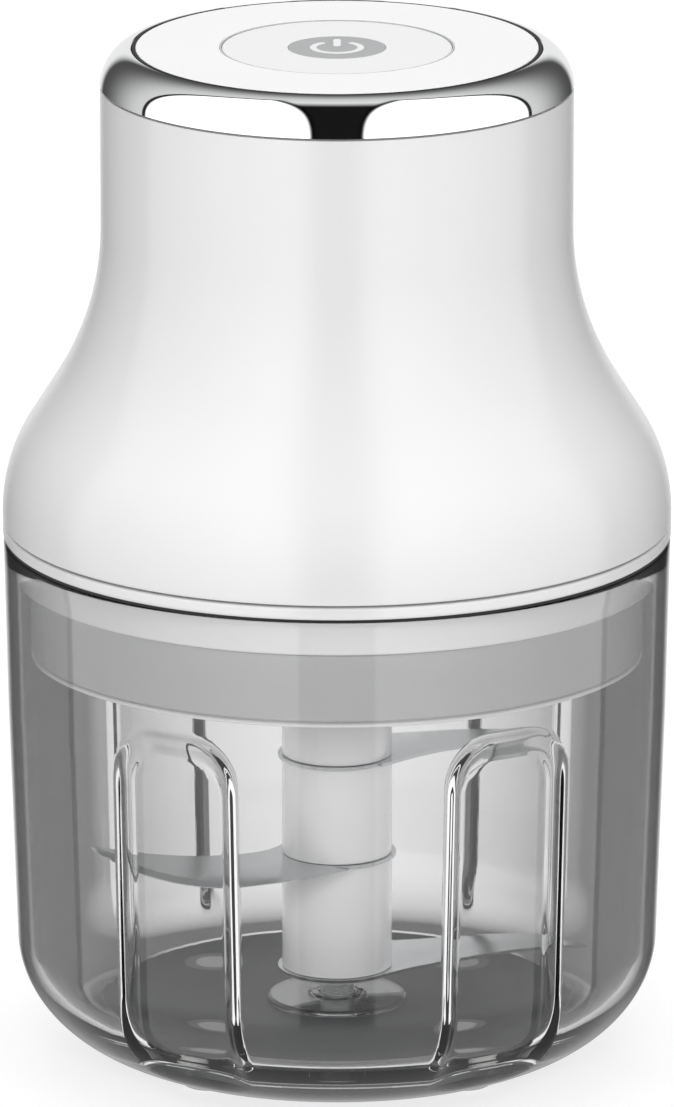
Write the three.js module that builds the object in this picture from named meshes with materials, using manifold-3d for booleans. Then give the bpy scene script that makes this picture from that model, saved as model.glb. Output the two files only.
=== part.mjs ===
// Cordless mini chopper: a clear fluted bowl, a three-blade hub on a pin, a splash lid
// and a bell-shaped motor head with a push button on top.
// Millimetres, +Z up. The origin is under the middle of the bowl, on the plane the feet stand on.
// The front of the chopper faces -Y and its charging port faces +Y.

import * as THREE from 'three';
import { mergeVertices } from 'three/addons/utils/BufferGeometryUtils.js';
import Module from 'manifold-3d';

const wasm = await Module();
wasm.setup();

// ---- Driving dimensions ----

const GAP = 0.3; // air kept between two pieces that touch in the real object
const STACK_GAP = 0.1; // the same, between flat faces stacked along the axis
const FLOAT_GAP = 0.2; // the same, between the ends of pieces that turn or slide
const CUT = 1; // how far a cutting solid runs past the face that it opens

const ROUND_LARGE = 32; // facets round the bowl, the shell and what nests in them
const ROUND_MEDIUM = 20;
const ROUND_SMALL = 10;
const FLANK_ANGLE = THREE.MathUtils.degToRad(32.4); // the bell's straight flank, from upright
const FLUTE_ANGLES = [-31.5, 31.5, 144, -144]; // degrees from the front
const MOUNT_ANGLES = [90, 210, 330];
const LEG_ANGLES = [-90, 50, 130];
const INTERLOCK_ANGLE = -51;

// the whole part
const HEIGHT = 127.3;
const HEAD_RADIUS = 41; // the motor head's lip

// bowl
const RIM_STEP = 0.08; // what the bowl's rim stands in from the head's lip
const BOWL_RIM_Z = 65.8;
const BOWL_WAIST_Z = 45;
const RIM_DRAFT = 0.46; // what the wall comes in from the rim to the waist
const WALL_DRAFT = 1.01; // and from the waist to the heel
const BOWL_WALL = 1.8;
const HEEL_WIDE = 18.55; // quarter ellipse under the wall
const HEEL_HIGH = 15.07;
const HEEL_SUNK = 0.62; // how far the ellipse would run below the flat underside
const BOWL_UNDERSIDE_Z = 1;
const FLOOR_Z = 6.5;
const INNER_HEEL_WIDE = 8.05;
const INNER_HEEL_HIGH = 9;
const LID_DEPTH = 13.7; // from the rim down to the ribs that the lid rests on
const FLUTE_WIDE = 17;
const FLUTE_LOW_Z = 2.4;
const FLUTE_CORNER = 7;
const FLUTE_DEPTH = 2.6;
const RIB_CAP = 2.5; // plastic between the top of a flute and the lid
const FOOT_RADIUS = 3.6;
const FOOT_PEG = 2;
const FOOT_PEG_LENGTH = 2.7;
const FOOT_RIM = 0.4;
const FOOT_OUTSET = 1.02; // the feet's circle, out from the heel's centre line
const DISC_THICKNESS = 0.8;

// hub and blades
const PIN_RADIUS = 2.08;
const PIN_TOP_Z = 26.3;
const PIN_SEAT_Z = 2.3;
const PIN_CHAMFER = 0.5;
const PIN_FLANGE_RADIUS = 8.65;
const PIN_FLANGE_THICKNESS = 0.7;
const BUSH_RADIUS = 3.1;
const BUSH_CAP = 1.2;
const HUB_RADIUS = 6.8;
const HUB_BOTTOM_Z = 10.2;
const CORE_RADIUS = 4.2;
const HUB_SOCKET_DEPTH = 6.5;
const DOG_RADIUS = 3.9;
const DOG_PLAY = 0.5;
const BLADE_THICKNESS = 0.8;
const LOWER_BLADE_STEP = 1.8; // each blade's height over the hub's end or the blade below
const MIDDLE_BLADE_STEP = 12.7;
const UPPER_BLADE_STEP = 12.9;
const BLADE_TIP = 30.4;
const BLADE_WIDTH = 14;
const BLADE_LAND = 0.5; // how far a blade's clamped ring stands out of the hub

// splash lid
const SEAL_FIT = 0.32;
const SEAL_THICKNESS = 1.9;
const SEAL_PROUD = 1.2; // how far the seal stands out of the lid's side
const SEAL_HEIGHT = 4.7;
const LID_WALL = 1.6;
const LID_CHAMFER = 0.3;
const COLLAR_PLAY = 0.6;
const COLLAR_WALL = 2;
const POST_RADIUS = 2.2;

// motor head
const WELL_FIT = 0.4;
const WELL_DEPTH = 8.6; // below the bowl's rim
const WELL_WALL = 1.6;
const WELL_FLOOR = 1.8;
const LIP_HEIGHT = 1.6;
const LIP_CHAMFER = 0.3;
const SEAM_GAP = 0.25;
const SPIGOT_HEIGHT = 1.3;
const BELLY_LIFT = 1.6;
const BELLY_ARC = 20.5;
const FLANK_LENGTH = 6.086;
const SHELL_WALL = 1.9;
const SCREW_RADIUS = 1; // every screw's shank
const SCREW_BORE = 1.3;
const SCREW_HEAD = 1.6;
const SCREW_HEAD_HEIGHT = 1;
const CASE_SCREW_INSET = 4.4;
const CASE_SCREW_LENGTH = 9.15;
const CASE_BOSS_RADIUS = 2.6;
const CASE_BOSS_HEIGHT = 12.7;
const RING_HEIGHT = 4.85;
const RING_WIDE = 4.35; // quarter ellipse of the ring's nose
const RING_PROUD = 0.1;
const RING_LAND = 0.45; // flat rest of the nose beside the top cover
const RING_SPIGOT = 3.65;
const RING_FIT = 0.35;
const TOP_PLATE = 1.9;
const TOP_SKIRT = 1.7;
const TOP_SKIRT_INSET = 0.45;
const BUTTON_RADIUS = 14.05;
const BUTTON_PLATE = 2.3;
const BUTTON_SKIRT = 1.15;
const BUTTON_FLANGE = 0.95;
const BUTTON_STEM = 2;
const BUTTON_TRAVEL_ROOM = 1.1;
const ICON_RADIUS = 5.8;
const ICON_DEPTH = 1.2;
const SIGN_RADIUS = 2.9;
const SIGN_STROKE = 0.8;
const SIGN_BAR = { half: 0.45, low: 0.6, high: 4.4 };
const SIGN_OPEN = THREE.MathUtils.degToRad(39);
const PORT_DROP = 12.45; // the port's middle, below the shell's top
const PORT_POCKET = { half: 6.8, high: 4.7, deep: 1.45 };
const PORT_PAD = { margin: 1.8, thick: 2.5 };
const PORT_HOLE = { half: 5, high: 2.2 };
const PORT_PLUG = { half: 4, high: 1, long: 1.4 };
const SOCKET = { half: 4.5, high: 1.6, long: 6.9, wall: 0.4 };
const TONGUE = { half: 3.2, high: 0.3 };

// motor and electronics
const MOTOR_RADIUS = 12.2;
const MOTOR_LENGTH = 31.1;
const MOTOR_NOSE = 3.1;
const CAN_WALL = 1;
const END_CAP = 3;
const END_CAP_BOSS = { r: 4, high: 1.6 };
const MOTOR_SHAFT_RADIUS = 1.15;
const MAGNET_THICKNESS = 1.5;
const MAGNET_HALF_ANGLE = THREE.MathUtils.degToRad(62);
const MAGNET_INSET = { low: 4.1, high: 5 };
const ARMATURE_AIR = 0.4;
const ARMATURE_INSET = { low: 6.1, high: 7 };
const COMMUTATOR = { r: 3, low: 6.6, high: 1 };
const COUPLER_RADIUS = 4.6;
const MOTOR_SCREW_INSET = 2.4;
const MOUNT_LIFT = 3;
const MOUNT_THICKNESS = 1.6;
const MOUNT_OUTSET = 2.2;
const MOUNT_EAR = 2.6;
const PILLAR_RADIUS = 2.4;
const SHAFT_SEAL = { outer: 7.5, high: 1.7 };
const CELL_RADIUS = 7;
const CELL_FIT = 0.45;
const CELL_NUB = { r: 2.6, high: 1 };
const FRAME_INSET = 2.65;
const FRAME_THICKNESS = 1.8;
const FRAME_LEG = 1.6;
const FRAME_LEG_INSET = 1.3;
const FRAME_HOLE = 8;
const BOARD_THICKNESS = 1.6;
const BOARD_DEPTH = 12.7; // the control board's underside, below the top
const KEY = { half: 3, high: 2.8, stem: 1.6, top: 3.8 };
const LED = { x: 6, long: 3, half: 1, high: 1 };
const CHARGE_BOARD = { half: 8, thick: 1.2, drop: 14 };
const INTERLOCK_INSET = 8.86;
const MICROSWITCH = { x: 6.4, y: 2.9, lift: 3.2, high: 6.5 };
const PLUNGER = { r: 1.6, collar: 2.6, chamfer: 0.3, below: 1.2, above: 1.4 };

// ---- Places that follow from them ----

const BOWL_RIM = { r: HEAD_RADIUS - RIM_STEP, z: BOWL_RIM_Z };
const BOWL_WAIST = { r: BOWL_RIM.r - RIM_DRAFT, z: BOWL_WAIST_Z };
const HEEL = {
  r: BOWL_WAIST.r - WALL_DRAFT - HEEL_WIDE,
  z: BOWL_UNDERSIDE_Z - HEEL_SUNK + HEEL_HIGH,
};
const FLOOR_RADIUS = HEEL.r + HEEL_WIDE - BOWL_WALL - INNER_HEEL_WIDE;
const DISC_SEAT_Z = FLOOR_Z - DISC_THICKNESS - GAP;
const LID_SEAT_Z = BOWL_RIM.z - LID_DEPTH;
const BUSH_TOP_Z = PIN_TOP_Z + GAP + BUSH_CAP;

const SEAL_RADIUS = BOWL_RIM.r - BOWL_WALL - SEAL_FIT;
const SEAL_INNER_RADIUS = SEAL_RADIUS - SEAL_THICKNESS;
const LID_RADIUS = SEAL_RADIUS - SEAL_PROUD;
const LID_INNER_RADIUS = SEAL_INNER_RADIUS - GAP - LID_WALL;
const LID_BOTTOM_Z = LID_SEAT_Z + GAP;
const LID_TOP_Z = BOWL_RIM.z + STACK_GAP;
const LID_SHOULDER_Z = LID_TOP_Z - SEAL_HEIGHT;

const WELL_RADIUS = LID_INNER_RADIUS - WELL_FIT;
const WELL_BOTTOM_Z = BOWL_RIM.z - WELL_DEPTH;
const WELL_FLOOR_Z = WELL_BOTTOM_Z + WELL_FLOOR;
const LIP_Z = BOWL_RIM.z + GAP;
const SEAM_Z = LIP_Z + LIP_HEIGHT;
const SPIGOT_TOP_Z = SEAM_Z + SPIGOT_HEIGHT;
const HUB_TOP_Z = WELL_BOTTOM_Z - COLLAR_PLAY - STACK_GAP;
const CORE_TOP_Z = HUB_TOP_Z - HUB_SOCKET_DEPTH;
const BLADE_LOWER_Z = HUB_BOTTOM_Z + LOWER_BLADE_STEP;
const BLADE_MIDDLE_Z = BLADE_LOWER_Z + MIDDLE_BLADE_STEP;
const BLADE_UPPER_Z = BLADE_MIDDLE_Z + UPPER_BLADE_STEP;
const BLADE_RING = HUB_RADIUS + BLADE_LAND;

const CELL_X = MOTOR_RADIUS + GAP + CELL_RADIUS;
const NECK_RADIUS = CELL_X + CELL_RADIUS + CELL_FIT + SHELL_WALL;
const NECK_ARC = (HEAD_RADIUS - NECK_RADIUS - FLANK_LENGTH * Math.sin(FLANK_ANGLE))
  / (1 - Math.cos(FLANK_ANGLE)) - BELLY_ARC;
const SHELL_TOP_Z = HEIGHT - RING_HEIGHT;
const RING_NOSE_RADIUS = NECK_RADIUS + RING_PROUD - RING_WIDE;
const TOP_COVER_RADIUS = RING_NOSE_RADIUS + RING_LAND - GAP;
const BUTTON_TOP_Z = HEIGHT - STACK_GAP;
const PORT_Z = SHELL_TOP_Z - PORT_DROP;

const BOARD_Z = HEIGHT - BOARD_DEPTH;
const BOARD_TOP_Z = BOARD_Z + BOARD_THICKNESS + STACK_GAP;
const KEY_TOP_Z = BOARD_TOP_Z + KEY.top;
const FRAME_RADIUS = NECK_RADIUS - SHELL_WALL - FRAME_INSET;
const FRAME_Z = BOARD_Z - FRAME_THICKNESS - 4 * STACK_GAP;
const MOUNT_Z = WELL_FLOOR_Z + MOUNT_LIFT;
const MOUNT_RING = MOTOR_RADIUS + MOUNT_OUTSET;
const MOTOR_NOSE_Z = MOUNT_Z - GAP;
const MOTOR_BOTTOM_Z = MOUNT_Z + MOUNT_THICKNESS + GAP;
const MOTOR_TOP_Z = MOTOR_BOTTOM_Z + MOTOR_LENGTH;
const MOTOR_SCREW_Y = MOTOR_RADIUS - MOTOR_SCREW_INSET;
const MAGNET_RADIUS = MOTOR_RADIUS - CAN_WALL - GAP;
const POCKET_Y = NECK_RADIUS - PORT_POCKET.deep;
const SOCKET_MOUTH_Y = POCKET_Y - PORT_PAD.thick - GAP;
const INTERLOCK = polar(WELL_RADIUS - INTERLOCK_INSET, INTERLOCK_ANGLE);

// A point in the XY plane at a radius and an angle in degrees, counted from +X.
function polar(radius, degrees) {
  const angle = THREE.MathUtils.degToRad(degrees);
  return [radius * Math.cos(angle), radius * Math.sin(angle)];
}

// Four places on a circle, one in each quarter.
function quarterPlaces(ring) {
  return [-135, -45, 45, 135].map((degrees) => polar(ring, degrees));
}

// ---- Solids from three.js geometry ----

// A closed geometry as a manifold solid: shared corners merged, empty faces dropped.
function solidOf(geometry) {
  const bare = geometry.clone();
  bare.deleteAttribute('normal');
  bare.deleteAttribute('uv');
  const merged = mergeVertices(bare, 1e-4);
  const faces = [];
  for (let i = 0; i < merged.index.count; i += 3) {
    const corners = [merged.index.getX(i), merged.index.getX(i + 1), merged.index.getX(i + 2)];
    if (new Set(corners).size === 3) faces.push(...corners);
  }
  return new wasm.Manifold(new wasm.Mesh({
    numProp: 3,
    vertProperties: Float32Array.from(merged.attributes.position.array),
    triVerts: Uint32Array.from(faces),
  }));
}

function geometryOf(solid) {
  const mesh = solid.getMesh();
  const geometry = new THREE.BufferGeometry();
  geometry.setAttribute('position', new THREE.BufferAttribute(mesh.vertProperties, 3));
  geometry.setIndex(new THREE.BufferAttribute(mesh.triVerts, 1));
  geometry.computeVertexNormals();
  return geometry;
}

// A solid of revolution round Z. The profile is a list of [radius, z] that runs up the outside;
// it starts and ends on the axis, or closes on itself when it stays clear of the axis.
function turned(profile, facets = ROUND_LARGE, x = 0, y = 0) {
  const points = profile.map(([r, z]) => new THREE.Vector2(r, z));
  if (profile[0][0] > 0) points.push(points[0].clone());
  const geometry = new THREE.LatheGeometry(points, facets);
  geometry.rotateX(Math.PI / 2);
  geometry.translate(x, y, 0);
  return solidOf(geometry);
}

function cylinder(r, low, high, x = 0, y = 0, facets = ROUND_SMALL) {
  return turned([[0, low], [r, low], [r, high], [0, high]], facets, x, y);
}

function box([x0, x1], [y0, y1], [z0, z1]) {
  const geometry = new THREE.BoxGeometry(x1 - x0, y1 - y0, z1 - z0);
  geometry.translate((x0 + x1) / 2, (y0 + y1) / 2, (z0 + z1) / 2);
  return solidOf(geometry);
}

// A flat outline in the XY plane, raised from one height to another.
function raised(shape, low, high, curveSegments = 8) {
  const settings = { depth: high - low, bevelEnabled: false, curveSegments };
  const geometry = new THREE.ExtrudeGeometry(shape, settings);
  geometry.translate(0, 0, low);
  return solidOf(geometry);
}

function roundedRectangle(wide, low, high, corner) {
  const half = wide / 2;
  const shape = new THREE.Shape();
  shape.moveTo(-half + corner, low);
  shape.lineTo(half - corner, low);
  shape.absarc(half - corner, low + corner, corner, -Math.PI / 2, 0);
  shape.absarc(half - corner, high - corner, corner, 0, Math.PI / 2);
  shape.absarc(-half + corner, high - corner, corner, Math.PI / 2, Math.PI);
  shape.absarc(-half + corner, low + corner, corner, Math.PI, Math.PI * 1.5);
  return shape;
}

// Points of an elliptical arc in the profile plane, between two angles counted from +r.
function ellipseArc(centre, wide, high, from, to, steps) {
  return Array.from({ length: steps + 1 }, (_, i) => {
    const angle = from + (to - from) * i / steps;
    return [centre.r + wide * Math.cos(angle), centre.z + high * Math.sin(angle)];
  });
}

const group = new THREE.Group();

function add(name, solid, color, roughness, metalness = 0, extra = {}) {
  const material = new THREE.MeshStandardMaterial({ color, roughness, metalness, ...extra });
  const mesh = new THREE.Mesh(geometryOf(solid), material);
  mesh.name = name;
  group.add(mesh);
}

// The colours and finishes, each used as add(name, solid, ...finish).
const CLEAR_PLASTIC = [0xe9edf0, 0.05, 0, { transparent: true, opacity: 0.3 }];
const WHITE_GLOSS = [0xf4f4f4, 0.18];
const WHITE_PLASTIC = [0xececec, 0.45];
const SMOKE_PLASTIC = [0x55585c, 0.3];
const GREY_PLASTIC = [0xb9bbbe, 0.4];
const BLACK_PLASTIC = [0x1d1e20, 0.5];
const SOFT_WHITE = [0xe4e4e2, 0.75];
const STEEL = [0xc4c6c9, 0.25, 1];
const CHROME = [0xe2e4e6, 0.06, 1];
const BRASS = [0xb8914a, 0.35, 1];
const COPPER = [0xa8663d, 0.4, 1];
const MAGNET = [0x3a3a3d, 0.6, 0.2];
const BOARD_GREEN = [0x1f5a3a, 0.5];
const CELL_WRAP = [0x2f5f9e, 0.4];

// ---- Bowl ----

// The bowl's outer line, set in by a depth: the heel's quarter ellipse and the tapered wall.
function bowlOutline(depth, lowest) {
  const wide = HEEL_WIDE - depth;
  const high = HEEL_HIGH - depth;
  const start = -Math.asin(Math.min(1, (HEEL.z - lowest) / high));
  return [
    [0, lowest],
    ...ellipseArc(HEEL, wide, high, start, 0, 5),
    [BOWL_WAIST.r - depth, BOWL_WAIST.z],
    [BOWL_RIM.r - depth, BOWL_RIM.z],
    [0, BOWL_RIM.z],
  ];
}

function fluteBlocks(wide, low, high, corner) {
  const shape = roundedRectangle(wide, low, high, corner);
  const settings = { depth: HEAD_RADIUS, bevelEnabled: false, curveSegments: 3 };
  return FLUTE_ANGLES.map((degrees) => {
    const geometry = new THREE.ExtrudeGeometry(shape, settings);
    geometry.translate(0, 0, HEEL.r);
    geometry.rotateX(Math.PI / 2);
    geometry.rotateZ(THREE.MathUtils.degToRad(degrees));
    return solidOf(geometry);
  });
}

function makeBowl() {
  let outside = turned(bowlOutline(0, BOWL_UNDERSIDE_Z));
  const pocketFloor = turned(bowlOutline(FLUTE_DEPTH, BOWL_UNDERSIDE_Z + FLUTE_DEPTH));
  const fluteTop = LID_SEAT_Z - RIB_CAP;
  for (const block of fluteBlocks(FLUTE_WIDE, FLUTE_LOW_Z, fluteTop, FLUTE_CORNER)) {
    outside = outside.subtract(block.subtract(pocketFloor));
  }

  const innerHeel = { r: FLOOR_RADIUS, z: FLOOR_Z + INNER_HEEL_HIGH };
  let cavity = turned([
    [0, FLOOR_Z],
    ...ellipseArc(innerHeel, INNER_HEEL_WIDE, INNER_HEEL_HIGH, -Math.PI / 2, 0, 4),
    [BOWL_WAIST.r - BOWL_WALL, BOWL_WAIST.z],
    [BOWL_RIM.r - BOWL_WALL, BOWL_RIM.z + CUT],
    [0, BOWL_RIM.z + CUT],
  ]);
  const ribDepth = FLUTE_DEPTH + BOWL_WALL;
  const ribFace = turned(bowlOutline(ribDepth, BOWL_UNDERSIDE_Z + ribDepth));
  const ribWide = FLUTE_WIDE + 2 * BOWL_WALL;
  const ribs = fluteBlocks(ribWide, FLUTE_LOW_Z - BOWL_WALL, LID_SEAT_Z, FLUTE_CORNER + BOWL_WALL);
  for (const block of ribs) cavity = cavity.subtract(block.subtract(ribFace));

  const discSeat = cylinder(FLOOR_RADIUS, DISC_SEAT_Z, FLOOR_Z + STACK_GAP, 0, 0, ROUND_LARGE);
  const pinSocket = cylinder(PIN_RADIUS + GAP, PIN_SEAT_Z, FLOOR_Z, 0, 0, ROUND_MEDIUM);
  let bowl = outside.subtract(cavity).subtract(discSeat).subtract(pinSocket);
  const pegHoleTop = BOWL_UNDERSIDE_Z + FOOT_PEG_LENGTH + GAP;
  for (const [x, y] of footPlaces()) {
    bowl = bowl.subtract(cylinder(FOOT_PEG + GAP, BOWL_UNDERSIDE_Z - CUT, pegHoleTop, x, y));
  }
  add('bowl', bowl, ...CLEAR_PLASTIC);
}

function footPlaces() {
  return quarterPlaces(HEEL.r + FOOT_OUTSET);
}

function makeFeet() {
  const top = BOWL_UNDERSIDE_Z - SEAM_GAP;
  const pegTop = BOWL_UNDERSIDE_Z + FOOT_PEG_LENGTH;
  footPlaces().forEach(([x, y], i) => {
    const profile = [[0, 0], [FOOT_RADIUS - FOOT_RIM, 0], [FOOT_RADIUS, FOOT_RIM],
      [FOOT_RADIUS, top], [FOOT_PEG, top], [FOOT_PEG, pegTop], [0, pegTop]];
    add(`foot_${i + 1}`, turned(profile, ROUND_SMALL, x, y), ...SOFT_WHITE);
  });
}

// The smoke-grey disc on the bowl's floor, the flange that holds it down, and the steel pin.
function makeFloor() {
  const hole = PIN_RADIUS + GAP;
  const rim = FLOOR_RADIUS - GAP;
  const discTop = FLOOR_Z - STACK_GAP;
  const discLow = discTop - DISC_THICKNESS;
  add('floor_disc', turned([[hole, discLow], [rim, discLow], [rim, discTop], [hole, discTop]]),
    ...SMOKE_PLASTIC);

  const top = FLOOR_Z + PIN_FLANGE_THICKNESS;
  const flange = [[hole, FLOOR_Z], [PIN_FLANGE_RADIUS, FLOOR_Z], [PIN_FLANGE_RADIUS, top - GAP],
    [PIN_FLANGE_RADIUS - GAP, top], [hole, top]];
  add('pin_flange', turned(flange, ROUND_MEDIUM), ...CLEAR_PLASTIC);

  const pinLow = PIN_SEAT_Z + GAP;
  const pin = [[0, pinLow], [PIN_RADIUS, pinLow], [PIN_RADIUS, PIN_TOP_Z - PIN_CHAMFER],
    [PIN_RADIUS - PIN_CHAMFER, PIN_TOP_Z], [0, PIN_TOP_Z]];
  add('pivot_pin', turned(pin, ROUND_MEDIUM), ...STEEL);
}

// ---- Hub and blades ----

// The bush slides over the pin and bears on its tip; the hub's core turns round the bush.
function makeBush() {
  const bore = cylinder(PIN_RADIUS + FLOAT_GAP, HUB_BOTTOM_Z, PIN_TOP_Z + GAP, 0, 0, ROUND_MEDIUM);
  const bush = cylinder(BUSH_RADIUS, HUB_BOTTOM_Z + 2 * FLOAT_GAP, BUSH_TOP_Z, 0, 0, ROUND_MEDIUM);
  add('pivot_bush', bush.subtract(bore), ...BRASS);
}

function makeCore() {
  const bore = cylinder(BUSH_RADIUS + GAP, HUB_BOTTOM_Z, BUSH_TOP_Z + GAP, 0, 0, ROUND_MEDIUM);
  const core = cylinder(CORE_RADIUS, HUB_BOTTOM_Z + FLOAT_GAP, CORE_TOP_Z, 0, 0, ROUND_MEDIUM);
  add('hub_core', core.subtract(bore), ...WHITE_PLASTIC);
}

// Four white sleeves are threaded on the core with the blades clamped between them. The top one
// holds the six-sided socket that the motor's coupler drops into.
function makeSleeves() {
  const half = BLADE_THICKNESS / 2 + STACK_GAP;
  const spans = [
    [HUB_BOTTOM_Z, BLADE_LOWER_Z - half],
    [BLADE_LOWER_Z + half, BLADE_MIDDLE_Z - half],
    [BLADE_MIDDLE_Z + half, BLADE_UPPER_Z - half],
    [BLADE_UPPER_Z + half, HUB_TOP_Z],
  ];
  const bore = CORE_RADIUS + GAP;
  const socketLow = CORE_TOP_Z - FLOAT_GAP;
  spans.forEach(([low, high], i) => {
    const isTop = i === spans.length - 1;
    const boreTop = isTop ? CORE_TOP_Z + FLOAT_GAP : high + CUT;
    let sleeve = cylinder(HUB_RADIUS, low, high, 0, 0, ROUND_MEDIUM)
      .subtract(cylinder(bore, low - CUT, boreTop, 0, 0, ROUND_MEDIUM));
    if (isTop) {
      sleeve = sleeve.subtract(cylinder(DOG_RADIUS + DOG_PLAY, socketLow, high + CUT, 0, 0, 6));
    }
    add(`hub_sleeve_${i + 1}`, sleeve, ...WHITE_PLASTIC);
  });
}

// A crescent blade whose tip lies along +X and whose curved cutting edge leads towards +Y.
function bladeShape() {
  const shape = new THREE.Shape();
  const heel = THREE.MathUtils.degToRad(-24);
  const nose = THREE.MathUtils.degToRad(104);
  shape.moveTo(BLADE_RING * Math.cos(heel), BLADE_RING * Math.sin(heel));
  shape.absarc(0, 0, BLADE_RING, heel, nose - 2 * Math.PI, true);
  shape.lineTo(BLADE_RING * Math.cos(nose) + 0.6, BLADE_RING * Math.sin(nose) + 1.2);
  shape.splineThru([
    new THREE.Vector2(BLADE_TIP - 25.1, BLADE_WIDTH - 1.6),
    new THREE.Vector2(BLADE_TIP - 17.4, BLADE_WIDTH),
    new THREE.Vector2(BLADE_TIP - 8.9, BLADE_WIDTH - 1.8),
    new THREE.Vector2(BLADE_TIP - 3.4, BLADE_WIDTH - 5.8),
    new THREE.Vector2(BLADE_TIP, 0.8),
  ]);
  shape.splineThru([
    new THREE.Vector2(BLADE_TIP - 4.4, 2),
    new THREE.Vector2(BLADE_TIP - 11.4, 2.6),
    new THREE.Vector2(BLADE_TIP - 17.7, 1.5),
    new THREE.Vector2(BLADE_RING + 1.6, -0.6),
    new THREE.Vector2(BLADE_RING + 0.4, -2),
  ]);
  return shape;
}

// The wing is twisted outside the clamped ring, so its cutting edge dips by the pitch.
function makeBlade(name, z, turnDegrees, pitch) {
  const settings = { depth: BLADE_THICKNESS, bevelEnabled: false, curveSegments: 4 };
  const geometry = new THREE.ExtrudeGeometry(bladeShape(), settings);
  const position = geometry.attributes.position;
  for (let i = 0; i < position.count; i += 1) {
    const twist = THREE.MathUtils.smoothstep(position.getX(i), BLADE_RING, 2 * BLADE_RING);
    const lead = position.getY(i) - BLADE_WIDTH / 2;
    position.setZ(i, position.getZ(i) - pitch * twist * lead);
  }
  geometry.rotateZ(THREE.MathUtils.degToRad(turnDegrees));
  geometry.translate(0, 0, z - BLADE_THICKNESS / 2);
  const hole = cylinder(CORE_RADIUS + GAP, z - BLADE_THICKNESS, z + BLADE_THICKNESS, 0, 0,
    ROUND_MEDIUM);
  add(name, solidOf(geometry).subtract(hole), ...STEEL);
}

function makeBlades() {
  makeBlade('blade_lower', BLADE_LOWER_Z, 0, 0.02);
  makeBlade('blade_middle', BLADE_MIDDLE_Z, 180, 0.03);
  makeBlade('blade_upper', BLADE_UPPER_Z, 4, 0.15);
}

// ---- Splash lid ----

function makeLid() {
  const bore = HUB_RADIUS + COLLAR_PLAY;
  const collar = bore + COLLAR_WALL;
  const collarTop = WELL_BOTTOM_Z - COLLAR_PLAY;
  const floorTop = LID_BOTTOM_Z + LID_WALL;
  const neck = SEAL_INNER_RADIUS - GAP;
  const body = turned([
    [bore, LID_BOTTOM_Z], [LID_RADIUS - LID_CHAMFER, LID_BOTTOM_Z],
    [LID_RADIUS, LID_BOTTOM_Z + LID_CHAMFER], [LID_RADIUS, LID_SHOULDER_Z],
    [neck, LID_SHOULDER_Z], [neck, LID_TOP_Z], [LID_INNER_RADIUS, LID_TOP_Z],
    [LID_INNER_RADIUS, floorTop], [collar, floorTop], [collar, collarTop], [bore, collarTop],
  ]);
  // the post that works the motor head's safety switch
  const postTop = WELL_BOTTOM_Z - PLUNGER.below - GAP;
  const post = cylinder(POST_RADIUS, floorTop - LID_WALL / 2, postTop, ...INTERLOCK);
  add('splash_lid', body.add(post), ...GREY_PLASTIC);

  const low = LID_SHOULDER_Z + FLOAT_GAP;
  const high = LID_TOP_Z - GAP;
  const seal = turned([
    [SEAL_INNER_RADIUS, low], [SEAL_RADIUS, low], [SEAL_RADIUS, high], [SEAL_INNER_RADIUS, high],
  ]);
  add('lid_seal', seal, ...SOFT_WHITE);
}

// ---- Motor head: case ----

// The bell's outer line, set in by a thickness: belly arc, straight flank, neck arc, neck.
function bellOutline(inset, low, high) {
  const belly = BELLY_ARC - inset;
  const neck = NECK_ARC + inset;
  const base = HEAD_RADIUS - inset;
  const neckRadius = NECK_RADIUS - inset;
  const bellyCentre = { r: base - belly, z: SEAM_Z + BELLY_LIFT };
  const rise = (belly + neck) * Math.sin(FLANK_ANGLE) + FLANK_LENGTH * Math.cos(FLANK_ANGLE);
  const neckCentre = { r: neckRadius + neck, z: bellyCentre.z + rise };
  return [
    [base, low],
    ...ellipseArc(bellyCentre, belly, belly, 0, FLANK_ANGLE, 3),
    ...ellipseArc(neckCentre, neck, neck, Math.PI + FLANK_ANGLE, Math.PI, 4),
    [neckRadius, high],
  ];
}

// A block behind the port: so wide and so high each way from the port's middle.
function portBlock(half, [y0, y1], high) {
  return box([-half, half], [y0, y1], [PORT_Z - high, PORT_Z + high]);
}

function makeShell() {
  const low = SEAM_Z + SEAM_GAP;
  const outer = bellOutline(0, low, SHELL_TOP_Z);
  const inner = bellOutline(SHELL_WALL, low, SHELL_TOP_Z);
  const body = turned([[0, low], ...outer, [0, SHELL_TOP_Z]]);
  let shell = turned([...outer, ...inner.reverse()]);
  const bossLow = SPIGOT_TOP_Z + GAP;
  const holeTop = SEAM_Z + CASE_SCREW_LENGTH - GAP + CUT;
  for (const [x, y] of caseScrewPlaces()) {
    const boss = cylinder(CASE_BOSS_RADIUS, bossLow, bossLow + CASE_BOSS_HEIGHT, x, y);
    shell = shell.add(boss.intersect(body));
    shell = shell.subtract(cylinder(SCREW_BORE, bossLow - GAP, holeTop, x, y));
  }
  const { half, high, deep } = PORT_POCKET;
  const padBack = POCKET_Y - PORT_PAD.thick;
  const pad = portBlock(half + PORT_PAD.margin, [padBack, POCKET_Y + CUT], high + PORT_PAD.margin);
  shell = shell.add(pad.intersect(body));
  shell = shell.subtract(portBlock(half, [POCKET_Y, POCKET_Y + 2 * deep], high));
  shell = shell.subtract(portBlock(PORT_HOLE.half, [padBack - CUT, POCKET_Y + CUT], PORT_HOLE.high));
  add('outer_shell', shell, ...WHITE_GLOSS);

  const coverBack = POCKET_Y + GAP;
  const cover = portBlock(half - GAP, [coverBack, coverBack + 2 * deep], high - GAP).intersect(body);
  const plugTip = coverBack + STACK_GAP - PORT_PLUG.long;
  const plug = portBlock(PORT_PLUG.half, [plugTip, coverBack + STACK_GAP], PORT_PLUG.high);
  add('port_cover', cover.add(plug), ...SOFT_WHITE);
}

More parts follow.
